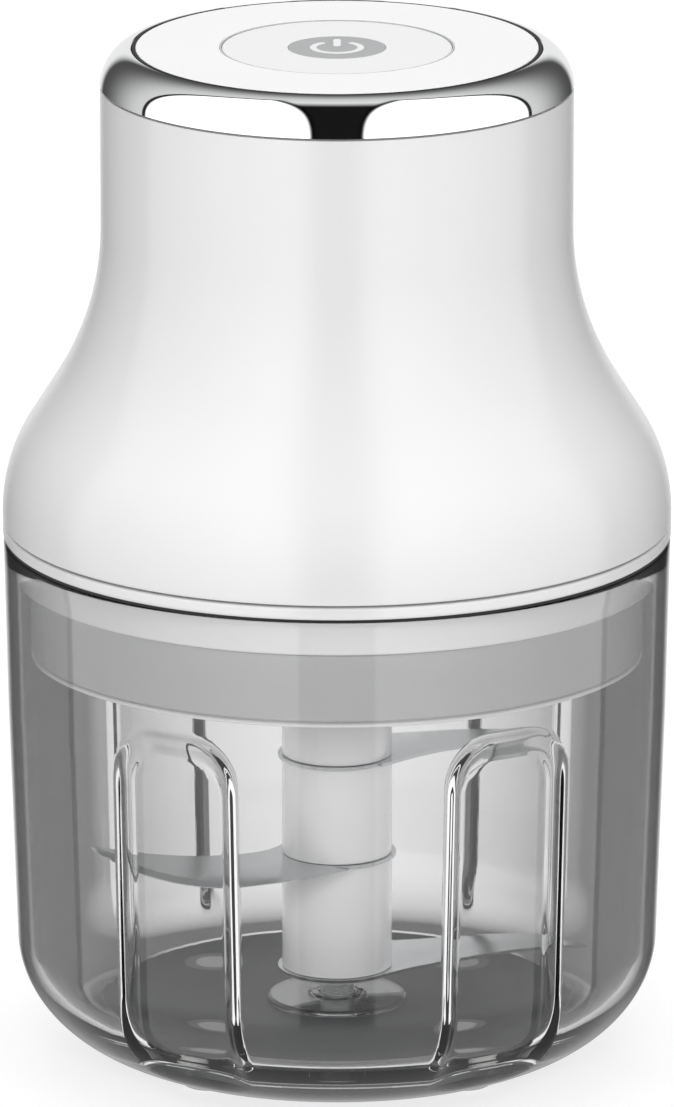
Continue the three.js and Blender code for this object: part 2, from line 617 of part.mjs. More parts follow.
function caseScrewPlaces() {
  return quarterPlaces(HEAD_RADIUS - CASE_SCREW_INSET);
}

function mountPlaces() {
  return MOUNT_ANGLES.map((degrees) => polar(MOUNT_RING, degrees));
}

function motorScrewPlaces() {
  return [[0, -MOTOR_SCREW_Y], [0, MOTOR_SCREW_Y]];
}

// The base cover closes the head: its lip shows under the shell, its well drops into the lid.
function makeBaseCover() {
  const wellInner = WELL_RADIUS - WELL_WALL;
  const spigot = HEAD_RADIUS - SHELL_WALL - GAP;
  const hole = COUPLER_RADIUS + 2 * GAP;
  let cover = turned([
    [hole, WELL_BOTTOM_Z], [WELL_RADIUS, WELL_BOTTOM_Z], [WELL_RADIUS, LIP_Z],
    [HEAD_RADIUS - LIP_CHAMFER, LIP_Z], [HEAD_RADIUS, LIP_Z + LIP_CHAMFER], [HEAD_RADIUS, SEAM_Z],
    [spigot, SEAM_Z], [spigot, SPIGOT_TOP_Z], [wellInner, SPIGOT_TOP_Z],
    [wellInner, WELL_FLOOR_Z], [hole, WELL_FLOOR_Z],
  ]);
  for (const [x, y] of caseScrewPlaces()) {
    const counterbore = SCREW_HEAD + GAP;
    cover = cover.subtract(cylinder(SCREW_BORE, LIP_Z - CUT, SPIGOT_TOP_Z + CUT, x, y));
    cover = cover.subtract(cylinder(counterbore, LIP_Z - CUT, SEAM_Z - STACK_GAP, x, y));
  }
  for (const [x, y] of mountPlaces()) {
    cover = cover.add(cylinder(PILLAR_RADIUS, WELL_FLOOR_Z - WELL_FLOOR / 4, MOUNT_Z - GAP, x, y));
    cover = cover.subtract(cylinder(SCREW_BORE, WELL_FLOOR_Z + GAP, MOUNT_Z, x, y));
  }
  const plungerHole = PLUNGER.r + GAP;
  cover = cover.subtract(
    cylinder(plungerHole, WELL_BOTTOM_Z - CUT, WELL_FLOOR_Z + CUT, ...INTERLOCK));
  add('base_cover', cover, ...WHITE_GLOSS);
}

// A screw from the end of its head to the end of its shank, pointing up or down.
function makeScrew(name, [x, y], headEnd, headHeight, headRadius, shankEnd) {
  const towards = Math.sign(shankEnd - headEnd);
  const seat = headEnd + towards * headHeight;
  const head = cylinder(headRadius, Math.min(headEnd, seat), Math.max(headEnd, seat), x, y);
  const root = seat - towards * headHeight / 2;
  const shank = cylinder(SCREW_RADIUS, Math.min(root, shankEnd), Math.max(root, shankEnd), x, y);
  add(name, head.add(shank), ...STEEL);
}

function makeCaseScrews() {
  const headLow = SEAM_Z - SCREW_HEAD_HEIGHT - SEAM_GAP - STACK_GAP;
  caseScrewPlaces().forEach((place, i) => {
    makeScrew(`case_screw_${i + 1}`, place, headLow, SCREW_HEAD_HEIGHT, SCREW_HEAD,
      headLow + SCREW_HEAD_HEIGHT + CASE_SCREW_LENGTH);
  });
}

// The chrome ring's nose is a quarter ellipse; its spigot sits inside the top of the shell.
function makeTop() {
  const inner = TOP_COVER_RADIUS + GAP;
  const spigot = NECK_RADIUS - SHELL_WALL - RING_FIT;
  const spigotLow = SHELL_TOP_Z - RING_SPIGOT;
  const noseLow = SHELL_TOP_Z + GAP;
  const noseCentre = { r: RING_NOSE_RADIUS, z: SHELL_TOP_Z - RING_LAND };
  const noseHigh = HEIGHT - noseCentre.z;
  const nose = ellipseArc(noseCentre, RING_WIDE, noseHigh,
    Math.asin((noseLow - noseCentre.z) / noseHigh), Math.acos(RING_LAND / RING_WIDE), 5);
  add('chrome_ring', turned([[inner, spigotLow], [spigot, spigotLow], [spigot, noseLow], ...nose]),
    ...CHROME);

  const hole = BUTTON_RADIUS + GAP;
  const skirtOuter = TOP_COVER_RADIUS - TOP_SKIRT_INSET;
  const skirtInner = skirtOuter - TOP_SKIRT;
  const skirtLow = BOARD_TOP_Z + GAP;
  const plateLow = HEIGHT - TOP_PLATE;
  const cover = turned([
    [skirtInner, skirtLow], [skirtOuter, skirtLow], [skirtOuter, plateLow - 2 * GAP],
    [TOP_COVER_RADIUS, plateLow - FLOAT_GAP], [TOP_COVER_RADIUS, HEIGHT - FLOAT_GAP],
    [TOP_COVER_RADIUS - FLOAT_GAP, HEIGHT], [hole, HEIGHT], [hole, plateLow],
    [skirtInner, plateLow],
  ]);
  add('top_cover', cover, ...WHITE_GLOSS);
}

// ---- Motor head: button ----

function makeButton() {
  const flange = BUTTON_RADIUS + BUTTON_FLANGE;
  const skirtInner = BUTTON_RADIUS - BUTTON_SKIRT;
  const recess = ICON_RADIUS + GAP;
  const recessFloor = BUTTON_TOP_Z - ICON_DEPTH;
  const stemLow = KEY_TOP_Z + BUTTON_TRAVEL_ROOM;
  const plateLow = BUTTON_TOP_Z - BUTTON_PLATE;
  const flangeTop = plateLow - BUTTON_FLANGE / 2;
  const flangeLow = flangeTop - BUTTON_FLANGE;
  const edge = FLOAT_GAP;
  const button = turned([
    [0, stemLow], [BUTTON_STEM, stemLow], [BUTTON_STEM, plateLow], [skirtInner, plateLow],
    [skirtInner, flangeLow], [flange, flangeLow], [flange, flangeTop], [BUTTON_RADIUS, flangeTop],
    [BUTTON_RADIUS, BUTTON_TOP_Z - edge], [BUTTON_RADIUS - edge, BUTTON_TOP_Z],
    [recess, BUTTON_TOP_Z], [recess, recessFloor], [0, recessFloor],
  ], ROUND_MEDIUM);
  add('push_button', button, ...WHITE_GLOSS);

  const baseLow = recessFloor + STACK_GAP;
  const baseTop = baseLow + 2 * FLOAT_GAP;
  const signLow = baseTop - STACK_GAP;
  const guide = cylinder(ICON_RADIUS - STACK_GAP, baseLow, baseTop, 0, 0, ROUND_MEDIUM)
    .add(symbolStroke(0, signLow, BUTTON_TOP_Z)).add(symbolBar(0, signLow, BUTTON_TOP_Z));
  add('icon_light_guide', guide, ...WHITE_PLASTIC);
  const play = GAP / 2;
  const cuts = symbolStroke(play, recessFloor, BUTTON_TOP_Z + CUT)
    .add(symbolBar(play, recessFloor, BUTTON_TOP_Z + CUT));
  const disc = cylinder(ICON_RADIUS, baseTop + play, BUTTON_TOP_Z, 0, 0, ROUND_MEDIUM);
  add('icon_disc', disc.subtract(cuts), ...GREY_PLASTIC);
}

// The standby sign's open ring, its gap towards the back, grown all round by a margin.
function symbolStroke(margin, low, high) {
  const inner = SIGN_RADIUS - SIGN_STROKE / 2 - margin;
  const outer = SIGN_RADIUS + SIGN_STROKE / 2 + margin;
  const open = SIGN_OPEN - margin / SIGN_RADIUS;
  const shape = new THREE.Shape();
  shape.absarc(0, 0, outer, Math.PI / 2 + open, Math.PI * 2.5 - open, false);
  shape.absarc(0, 0, inner, Math.PI * 2.5 - open, Math.PI / 2 + open, true);
  return raised(shape, low, high, 10);
}

function symbolBar(margin, low, high) {
  const half = SIGN_BAR.half + margin;
  return box([-half, half], [SIGN_BAR.low - margin, SIGN_BAR.high + margin], [low, high]);
}

// ---- Motor head: motor and drive ----

function makeMotor() {
  const bore = MOTOR_SHAFT_RADIUS + GAP / 2 + GAP;
  const inside = MOTOR_RADIUS - CAN_WALL;
  const floorTop = MOTOR_BOTTOM_Z + CAN_WALL;
  let can = turned([
    [bore, MOTOR_NOSE_Z], [MOTOR_NOSE, MOTOR_NOSE_Z], [MOTOR_NOSE, MOTOR_BOTTOM_Z],
    [MOTOR_RADIUS, MOTOR_BOTTOM_Z], [MOTOR_RADIUS, MOTOR_TOP_Z], [inside, MOTOR_TOP_Z],
    [inside, floorTop], [bore, floorTop],
  ], ROUND_MEDIUM);
  for (const [x, y] of motorScrewPlaces()) {
    can = can.subtract(cylinder(SCREW_BORE, MOTOR_BOTTOM_Z - CUT, floorTop + CUT, x, y));
  }
  add('motor_can', can, ...STEEL);

  const capLow = MOTOR_TOP_Z + GAP;
  const capTop = MOTOR_TOP_Z + END_CAP;
  const bossTop = capTop + END_CAP_BOSS.high;
  const cap = turned([
    [bore, capLow], [MOTOR_RADIUS, capLow], [MOTOR_RADIUS, capTop], [END_CAP_BOSS.r, capTop],
    [END_CAP_BOSS.r, bossTop], [bore, bossTop],
  ], ROUND_MEDIUM);
  add('motor_end_cap', cap, ...WHITE_PLASTIC);

  for (const [name, middle] of [['magnet_left', Math.PI], ['magnet_right', 0]]) {
    const from = middle - MAGNET_HALF_ANGLE;
    const to = middle + MAGNET_HALF_ANGLE;
    const arc = new THREE.Shape();
    arc.absarc(0, 0, MAGNET_RADIUS, from, to, false);
    arc.absarc(0, 0, MAGNET_RADIUS - MAGNET_THICKNESS, to, from, true);
    const magnet = raised(arc, MOTOR_BOTTOM_Z + MAGNET_INSET.low, MOTOR_TOP_Z - MAGNET_INSET.high);
    add(name, magnet, ...MAGNET);
  }
}

function makeRotor() {
  const shaftTop = MOTOR_TOP_Z + END_CAP + END_CAP_BOSS.high + 3 * GAP;
  const dogLow = CORE_TOP_Z + CUT;
  const shaftLow = WELL_BOTTOM_Z - WELL_FLOOR - STACK_GAP;
  add('motor_shaft', cylinder(MOTOR_SHAFT_RADIUS, shaftLow, shaftTop), ...STEEL);

  const bore = MOTOR_SHAFT_RADIUS + SEAM_GAP;
  const wound = MAGNET_RADIUS - MAGNET_THICKNESS - ARMATURE_AIR;
  const low = MOTOR_BOTTOM_Z + ARMATURE_INSET.low;
  const high = MOTOR_TOP_Z - ARMATURE_INSET.high;
  add('armature', turned([[bore, low], [wound, low], [wound, high], [bore, high]], ROUND_MEDIUM),
    ...COPPER);
  const barsLow = MOTOR_TOP_Z - COMMUTATOR.low;
  const barsHigh = MOTOR_TOP_Z - COMMUTATOR.high;
  const bars = [[bore, barsLow], [COMMUTATOR.r, barsLow], [COMMUTATOR.r, barsHigh], [bore, barsHigh]];
  add('commutator', turned(bars, ROUND_SMALL), ...COPPER);

  // the coupler's six-sided dog stands in the socket at the top of the hub
  const collarTop = MOTOR_NOSE_Z - FLOAT_GAP;
  const coupler = cylinder(DOG_RADIUS, dogLow, WELL_BOTTOM_Z, 0, 0, 6)
    .add(cylinder(COUPLER_RADIUS, WELL_BOTTOM_Z - FLOAT_GAP, collarTop, 0, 0, ROUND_MEDIUM))
    .subtract(cylinder(bore, shaftLow - GAP, collarTop + CUT));
  add('drive_coupler', coupler, ...BLACK_PLASTIC);
}

function makeMotorMount() {
  const plateTop = MOUNT_Z + MOUNT_THICKNESS;
  let plate = cylinder(MOTOR_RADIUS, MOUNT_Z, plateTop, 0, 0, ROUND_MEDIUM);
  for (const [x, y] of mountPlaces()) plate = plate.add(cylinder(MOUNT_EAR, MOUNT_Z, plateTop, x, y));
  plate = plate.subtract(
    cylinder(MOTOR_NOSE + GAP, MOUNT_Z - CUT, plateTop + CUT, 0, 0, ROUND_MEDIUM));
  for (const [x, y] of [...mountPlaces(), ...motorScrewPlaces()]) {
    plate = plate.subtract(cylinder(SCREW_BORE, MOUNT_Z - CUT, plateTop + CUT, x, y));
  }
  add('motor_mount', plate, ...STEEL);

  const headHeight = SCREW_HEAD_HEIGHT + STACK_GAP;
  mountPlaces().forEach((place, i) => {
    makeScrew(`mount_screw_${i + 1}`, place, plateTop + GAP + headHeight, headHeight,
      SCREW_HEAD + FLOAT_GAP, WELL_FLOOR_Z + 4 * FLOAT_GAP);
  });
  motorScrewPlaces().forEach((place, i) => {
    makeScrew(`motor_screw_${i + 1}`, place, MOTOR_NOSE_Z - headHeight - STACK_GAP,
      headHeight + STACK_GAP, SCREW_HEAD, MOTOR_BOTTOM_Z + CAN_WALL + SCREW_HEAD);
  });

  const inner = COUPLER_RADIUS + GAP;
  const low = WELL_FLOOR_Z + FLOAT_GAP;
  const high = low + SHAFT_SEAL.high;
  const seal = [[inner, low], [SHAFT_SEAL.outer, low], [SHAFT_SEAL.outer, high], [inner, high]];
  add('shaft_seal', turned(seal, ROUND_MEDIUM), ...BLACK_PLASTIC);
}

// ---- Motor head: cells, boards and switches ----

function makeElectrics() {
  const cellLow = WELL_FLOOR_Z + WELL_FIT;
  const cellTop = FRAME_Z - 4 * CELL_NUB.high;
  const nubTop = cellTop + CELL_NUB.high;
  for (const [name, x] of [['cell_left', -CELL_X], ['cell_right', CELL_X]]) {
    const profile = [[0, cellLow], [CELL_RADIUS, cellLow], [CELL_RADIUS, cellTop],
      [CELL_NUB.r, cellTop], [CELL_NUB.r, nubTop], [0, nubTop]];
    add(name, turned(profile, 24, x, 0), ...CELL_WRAP);
  }

  const frameTop = FRAME_Z + FRAME_THICKNESS;
  let frame = cylinder(FRAME_RADIUS, FRAME_Z, frameTop, 0, 0, ROUND_MEDIUM);
  for (const degrees of LEG_ANGLES) {
    const [x, y] = polar(FRAME_RADIUS - FRAME_LEG_INSET, degrees);
    frame = frame.add(cylinder(FRAME_LEG, WELL_FLOOR_Z + GAP, FRAME_Z + FRAME_THICKNESS / 2, x, y));
  }
  frame = frame.subtract(cylinder(FRAME_HOLE, FRAME_Z - CUT, frameTop + CUT, 0, 0, ROUND_MEDIUM));
  add('inner_frame', frame, ...BLACK_PLASTIC);

  const board = cylinder(FRAME_RADIUS - GAP, BOARD_Z, BOARD_Z + BOARD_THICKNESS, 0, 0, ROUND_MEDIUM);
  add('control_board', board, ...BOARD_GREEN);
  const keyBody = [-KEY.half, KEY.half];
  const key = box(keyBody, keyBody, [BOARD_TOP_Z, BOARD_TOP_Z + KEY.high])
    .add(cylinder(KEY.stem, BOARD_TOP_Z, KEY_TOP_Z));
  add('tact_switch', key, ...BLACK_PLASTIC);
  const led = box([LED.x, LED.x + LED.long], [-LED.half, LED.half],
    [BOARD_TOP_Z, BOARD_TOP_Z + LED.high]);
  add('status_led', led, ...WHITE_PLASTIC);

  const socketBack = SOCKET_MOUTH_Y - SOCKET.long;
  const boardFace = socketBack - FLOAT_GAP;
  add('charge_board', box([-CHARGE_BOARD.half, CHARGE_BOARD.half],
    [boardFace - CHARGE_BOARD.thick, boardFace], [PORT_Z - CHARGE_BOARD.drop, FRAME_Z - GAP]),
  ...BOARD_GREEN);
  const tongueY = [socketBack + GAP, SOCKET_MOUTH_Y - 4 * FLOAT_GAP];
  const mouth = [socketBack + SCREW_BORE, SOCKET_MOUTH_Y + CUT];
  const socket = portBlock(SOCKET.half, [socketBack, SOCKET_MOUTH_Y], SOCKET.high)
    .subtract(portBlock(SOCKET.half - SOCKET.wall, mouth, SOCKET.high - SOCKET.wall))
    .add(portBlock(TONGUE.half, tongueY, TONGUE.high));
  add('charge_socket', socket, ...STEEL);

  const [x, y] = INTERLOCK;
  const switchLow = WELL_FLOOR_Z + MICROSWITCH.lift;
  const micro = box([x - MICROSWITCH.x, x + MICROSWITCH.x], [y - MICROSWITCH.y, y + MICROSWITCH.y],
    [switchLow, switchLow + MICROSWITCH.high]);
  add('microswitch', micro, ...BLACK_PLASTIC);

  const tip = WELL_BOTTOM_Z - PLUNGER.below;
  const collarLow = WELL_FLOOR_Z + WELL_FIT;
  const collarTop = collarLow + 2 * GAP;
  const end = WELL_FLOOR_Z + PLUNGER.above;
  const plunger = [[0, tip], [PLUNGER.r - PLUNGER.chamfer, tip], [PLUNGER.r, tip + PLUNGER.chamfer],
    [PLUNGER.r, collarLow], [PLUNGER.collar, collarLow], [PLUNGER.collar, collarTop],
    [PLUNGER.r, collarTop], [PLUNGER.r, end], [0, end]];
  add('interlock_plunger', turned(plunger, ROUND_SMALL, x, y), ...WHITE_PLASTIC);
}

makeBowl();
makeFeet();
makeFloor();
makeBush();
makeCore();
makeSleeves();
makeBlades();
makeLid();
makeShell();
makeBaseCover();
makeCaseScrews();
makeTop();
makeButton();
makeMotor();
makeRotor();
makeMotorMount();
makeElectrics();

export default group;
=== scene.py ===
"""A cordless mini chopper: a clear fluted bowl, three blades on a hub that turns on a pin,
a splash lid, and a bell-shaped motor head with one push button on top. Metres, +Z up."""
import math

import bpy
import numpy as np
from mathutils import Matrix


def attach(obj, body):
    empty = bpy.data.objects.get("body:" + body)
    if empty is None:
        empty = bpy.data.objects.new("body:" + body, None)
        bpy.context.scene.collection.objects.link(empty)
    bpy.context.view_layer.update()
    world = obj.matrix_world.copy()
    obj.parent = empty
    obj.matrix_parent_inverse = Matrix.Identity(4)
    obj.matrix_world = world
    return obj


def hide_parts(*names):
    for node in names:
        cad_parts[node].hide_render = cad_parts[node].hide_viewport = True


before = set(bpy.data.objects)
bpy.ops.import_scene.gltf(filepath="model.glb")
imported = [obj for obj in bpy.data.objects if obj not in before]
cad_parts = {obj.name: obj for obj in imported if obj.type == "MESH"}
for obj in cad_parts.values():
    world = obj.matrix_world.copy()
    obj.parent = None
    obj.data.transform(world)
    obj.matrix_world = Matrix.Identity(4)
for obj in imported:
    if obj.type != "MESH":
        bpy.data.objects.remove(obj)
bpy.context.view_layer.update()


# ---- Camera ----
# The chopper stands on a table and is looked at from the front and a little above, from far
# enough away that its sides stay nearly straight.

MM = 0.001
CAMERA_PLACE = (0, -1.7, 0.5307)
CAMERA_DIP = 15.372  # degrees below the horizon

camera_data = bpy.data.cameras.new("camera")
camera_data.lens = 466.8
camera_data.sensor_width = 36
camera_data.clip_start = 0.1
camera = bpy.data.objects.new("camera", camera_data)
camera.location = CAMERA_PLACE
camera.rotation_euler = (math.radians(90 - CAMERA_DIP), 0, 0)
bpy.context.scene.collection.objects.link(camera)
bpy.context.scene.camera = camera
bpy.context.scene.view_settings.view_transform = "Standard"


# ---- Bowl ----
# One injection moulding in clear plastic, open at the top. Four flutes are pressed into its
# wall and stand out as ribs inside, where their tops carry the splash lid.

RIM = (40.92, 65.8)
WAIST = (40.46, 45)
HEEL_CENTRE = (20.9, 15.45)
HEEL_SIZE = (18.55, 15.07)
UNDERSIDE = 1.0
BOWL_FLOOR = 6.5
DISC_SEAT = (29.6, 5.4)
INNER_HEEL_SIZE = (8.05, 9)
WALL = 1.8
FLUTES = (-30.3, 32, 141.5, -141.5)  # degrees from the front
FLUTE_OUTLINE = (8.1, 3.1, 50.0, 6.0)  # half width, foot, head, corner
FLUTE_WINDOW = (6.5, 7.4, 46.8, 4.2)  # the same, of its flat middle
FLUTE_DEPTH = 1.35
RIB_MARGIN = 0.25
PIN_SOCKET = (2.38, 2.3)


def smoothstep(value, low=0.0, high=1.0):
    share = np.clip((value - low) / (high - low), 0, 1)
    return share * share * (3 - 2 * share)


def quarter(centre, size, start, end, steps):
    """Points of an elliptical arc in the (radius, height) plane, between two angles in degrees."""
    turns = np.radians(np.linspace(start, end, steps + 1))
    return np.column_stack([centre[0] + size[0] * np.cos(turns), centre[1] + size[1] * np.sin(turns)])


def line(start, end, steps):
    return np.linspace(start, end, steps + 1)


def skin(name, rings, material, joined=False, crease=35):
    """A mesh skinned over rings of points in millimetres; a ring of one point closes an end."""
    firsts = np.cumsum([0] + [len(ring) for ring in rings])
    pairs = [(i, i + 1) for i in range(len(rings) - 1)]
    if joined:
        pairs.append((len(rings) - 1, 0))
    faces = []
    for low, high in pairs:
        count = max(len(rings[low]), len(rings[high]))
        for i in range(count):
            j = (i + 1) % count
            corners = [(low, i), (low, j), (high, j), (high, i)]
            points = dict.fromkeys(int(firsts[ring] + k % len(rings[ring])) for ring, k in corners)
            if len(points) > 2:
                faces.append(tuple(points))
    mesh = bpy.data.meshes.new(name)
    mesh.from_pydata((np.concatenate(rings) * MM).tolist(), [], faces)
    mesh.polygons.foreach_set("use_smooth", [True] * len(mesh.polygons))
    mesh.set_sharp_from_angle(angle=math.radians(crease))
    mesh.materials.append(material)
    piece = bpy.data.objects.new(name, mesh)
    bpy.context.scene.collection.objects.link(piece)
    return piece


def nodes_of(name):
    """A new material's node tree, its shader node and a maker of further nodes."""
    material = bpy.data.materials.new(name)
    material.use_nodes = True
    tree = material.node_tree
    shader = tree.nodes["Principled BSDF"]

    def node(kind, links=(), **values):
        made = tree.nodes.new(kind)
        for key, value in values.items():
            setattr(made, key, value)
        for socket, source in dict(links).items():
            if isinstance(source, bpy.types.NodeSocket):
                tree.links.new(source, made.inputs[socket])
            else:
                made.inputs[socket].default_value = source
        return made

    return material, tree, shader, node


def grain(tree, shader, node, size, depth, rough, spread=0.04, stretch=(1, 1, 1)):
    """Moulded or worked texture: grains of a size and depth in millimetres, and uneven gloss."""
    place = node("ShaderNodeTexCoord").outputs["Object"]
    place = node("ShaderNodeMapping", {"Vector": place, "Scale": stretch}).outputs["Vector"]
    noise = node("ShaderNodeTexNoise", {"Vector": place, "Scale": 1 / (size * MM), "Detail": 3})
    bump = node("ShaderNodeBump", {"Height": noise.outputs["Fac"], "Strength": 1, "Distance": depth * MM})
    tree.links.new(bump.outputs["Normal"], shader.inputs["Normal"])
    patches = node("ShaderNodeTexNoise", {"Vector": place, "Scale": 1 / (size * 9 * MM), "Detail": 2})
    gloss = node("ShaderNodeMapRange", {"Value": patches.outputs["Fac"], "From Min": 0.3, "From Max": 0.7,
                                        "To Min": rough - spread, "To Max": rough + spread})
    tree.links.new(gloss.outputs["Result"], shader.inputs["Roughness"])
    return noise, patches


def let_lamps_through(tree, shader, node, share):
    """Lamps and scattered light pass the clear plastic, so that they reach what is behind it."""
    path = node("ShaderNodeLightPath")
    passes = node("ShaderNodeMath", {0: path.outputs["Is Shadow Ray"], 1: path.outputs["Is Diffuse Ray"]},
                  operation="MAXIMUM")
    clear = node("ShaderNodeBsdfTransparent", {"Color": (share, share, share, 1)})
    mix = node("ShaderNodeMixShader", {0: passes.outputs[0], 1: shader.outputs["BSDF"],
                                       2: clear.outputs["BSDF"]})
    output = next(n for n in tree.nodes if n.type == "OUTPUT_MATERIAL")
    tree.links.new(mix.outputs["Shader"], output.inputs["Surface"])


def clear_plastic(name, turned=None, clear=0.95):
    """Clear moulded plastic. Given two turned shares, its colour is painted darker as its wall turns away from
    view between them: painted shade at its edges.
    """
    material, tree, shader, node = nodes_of(name)
    shader.inputs["Base Color"].default_value = (0.98, 0.985, 0.99, 1)
    shader.inputs["Transmission Weight"].default_value = 1
    shader.inputs["IOR"].default_value = 1.49
    grain(tree, shader, node, size=7, depth=0.002, rough=0.012, spread=0.008)
    if turned:
        # Painted shade: the colour runs from clear down to nearly black as the wall turns away from view.
        facing = node("ShaderNodeLayerWeight", {"Blend": 0.5}).outputs["Facing"]
        tone = node("ShaderNodeMapRange", {"Value": facing, "From Min": turned[0], "From Max": turned[1],
                                           "To Min": clear, "To Max": 0.02})
        tree.links.new(tone.outputs["Result"], shader.inputs["Base Color"])
    let_lamps_through(tree, shader, node, 0.975)
    return material


# Both faces of the bowl carry the painted edge shade; the inner faces are painted a little darker even where
# they face the view.
bowl_plastic = clear_plastic("bowl_plastic", (0.4, 0.75))
bowl_inner_plastic = clear_plastic("bowl_inner_plastic", (0, 0.42), 0.8)


def outline_distance(aside, along, outline):
    """Distance from a rounded rectangle's outline, less than 0 inside it."""
    half, low, high, corner = outline
    q_aside = aside - half + corner
    q_along = np.abs(along - (low + high) / 2) - (high - low) / 2 + corner
    outside = np.hypot(np.maximum(q_aside, 0), np.maximum(q_along, 0))
    return outside + np.minimum(np.maximum(q_aside, q_along), 0) - corner


def flute_share(angles, radii, lengths, margin):
    """How deep each point of the wall is pressed in at a flute, 0 to 1."""
    depth = np.zeros(np.broadcast(angles, radii).shape)
    for flute in FLUTES:
        turn = np.radians((angles - flute + 180) % 360 - 180)
        aside = np.where(np.abs(turn) < 1, np.abs(radii * np.sin(turn)), 99)
        half, low, high, corner = flute_outline
        within = -outline_distance(aside, lengths, (half + margin, low - margin, high + margin, corner))
        beyond = np.maximum(outline_distance(aside, lengths, flute_window), 0)
        here = np.where(within > 0, within / np.maximum(within + beyond, 1e-6), 0)
        depth = np.maximum(depth, 0.4 * here + 0.6 * smoothstep(here))
    return depth


def wall_rings(points, lengths, columns, inward, margin, fade=None):
    """Rings of the wall's outer or inner face, pressed in at the flutes."""
    slopes = np.gradient(points, axis=0)
    normals = np.column_stack([slopes[:, 1], -slopes[:, 0]])
    normals /= np.linalg.norm(normals, axis=1)[:, None]
    depth = flute_share(columns[None, :], points[:, :1], lengths[:, None], margin)
    if fade is not None:
        depth = depth * fade[:, None]
    turns = np.radians(columns - 90)
    rings = []
    for (r, z), (dr, dz), depths in zip(points, normals * inward, depth):
        radii = r + dr * FLUTE_DEPTH * depths
        heights = z + dz * FLUTE_DEPTH * depths
        rings.append(np.column_stack([radii * np.cos(turns), radii * np.sin(turns), heights]))
    return rings


def arc_lengths(points, top):
    """Length along a profile, counted so that its last point has the value top."""
    steps = np.linalg.norm(np.diff(points, axis=0), axis=1)
    return top - np.concatenate([np.cumsum(steps[::-1])[::-1], [0]])


columns = [np.arange(-180, 180, 3.0)]
for flute in FLUTES:
    for side in (-1, 1):
        columns.append(np.arange(8, 14.01, 0.25) * side + flute)
    columns.append(np.arange(-7, 7.01, 1) + flute)
columns = (np.concatenate(columns) + 180) % 360 - 180
columns = np.unique(np.round(columns, 1))
columns = columns[np.append(np.diff(columns) > 0.15, True)]

heel_start = -math.degrees(math.asin((HEEL_CENTRE[1] - UNDERSIDE) / HEEL_SIZE[1]))
heel = quarter(HEEL_CENTRE, HEEL_SIZE, heel_start, 0, 48)
heel_end = tuple(heel[-1])
near_head = tuple(np.array(heel_end) + (np.array(WAIST) - heel_end) * 0.9)
wall = np.concatenate([line(heel_end, near_head, 12)[1:], line(near_head, WAIST, 8)[1:]])
collar = np.concatenate([line(WAIST, (WAIST[0] + 0.15, 52), 22)[1:],
                         line((WAIST[0] + 0.15, 52), (RIM[0], RIM[1] - 0.5), 6)[1:]])
outer_points = np.concatenate([heel, wall, collar])
outer_lengths = arc_lengths(outer_points, RIM[1] - 0.5)


def along_wall(outline):
    """A flute's outline with its heights measured along the wall."""
    half, low, high, corner = outline
    low, high = np.interp((low, high), outer_points[:, 1], outer_lengths)
    return half, low, high, corner


flute_outline = along_wall(FLUTE_OUTLINE)
flute_window = along_wall(FLUTE_WINDOW)

inner_heel_centre = (DISC_SEAT[0], BOWL_FLOOR + INNER_HEEL_SIZE[1])
inner_heel = quarter(inner_heel_centre, INNER_HEEL_SIZE, -90, 0, 26)
inner_wall = wall - (WALL, 0)
inner_collar = collar - (WALL, 0)
inner_points = np.concatenate([inner_heel, inner_wall, inner_collar])
inner_lengths = arc_lengths(inner_points, RIM[1] - 0.5)
inner_fade = smoothstep(inner_points[:, 1], BOWL_FLOOR + 0.5, BOWL_FLOOR + 6)

turns = np.radians(columns - 90)


def plain_ring(r, z):
    if r == 0:
        return np.array([[0, 0, z]])
    return np.column_stack([r * np.cos(turns), r * np.sin(turns), np.full(len(turns), z)])


heel_foot = heel[0]
outer_rings = [plain_ring(0, UNDERSIDE), plain_ring(12, UNDERSIDE), plain_ring(24, UNDERSIDE),
               plain_ring(heel_foot[0] - 0.5, UNDERSIDE), plain_ring(heel_foot[0] - 0.1, UNDERSIDE)]
pressed = wall_rings(outer_points, outer_lengths, columns, -1, 0)
outer_rings += pressed
rim_rings = [plain_ring(RIM[0] - 0.5 + 0.5 * math.cos(a), RIM[1] - 0.5 + 0.5 * math.sin(a))
             for a in np.radians([20, 45, 70, 90])]
rim_rings += [plain_ring(RIM[0] - WALL + 0.5 - 0.5 * math.sin(a), RIM[1] - 0.5 + 0.5 * math.cos(a))
              for a in np.radians([0, 20, 45, 70])]
inner_rings = wall_rings(inner_points, inner_lengths, columns, -1, RIB_MARGIN, inner_fade)
seat_rings = [plain_ring(DISC_SEAT[0], BOWL_FLOOR - 0.05), plain_ring(*DISC_SEAT),
              plain_ring(DISC_SEAT[0] - 0.2, DISC_SEAT[1]), plain_ring(16, DISC_SEAT[1]),
              plain_ring(PIN_SOCKET[0] + 0.2, DISC_SEAT[1]), plain_ring(PIN_SOCKET[0], DISC_SEAT[1]),
              plain_ring(*PIN_SOCKET), plain_ring(0, PIN_SOCKET[1])]
outside = outer_rings + rim_rings
bowl = skin("bowl_moulding", outside + inner_rings[::-1] + seat_rings, bowl_plastic)
bowl.data.materials.append(bowl_inner_plastic)
outer_faces = (len(outside) - 1) * len(columns)
for face in bowl.data.polygons:
    if face.index >= outer_faces:
        face.material_index = 1
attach(bowl, "bowl")
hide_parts("bowl")


# ---- Feet ----
# Four soft feet, each a button with a stem pushed into a hole in the bowl's underside.

FOOT_OFFSET = 15.5
FOOT_RINGS = ((0, 0), (2.9, 0), (3.2, 0.06), (3.45, 0.2), (3.6, 0.45), (3.6, 0.68), (3.5, 0.75), (2.05, 0.75),
              (2, 0.8), (2, 3.5), (1.8, 3.7), (0, 3.7))


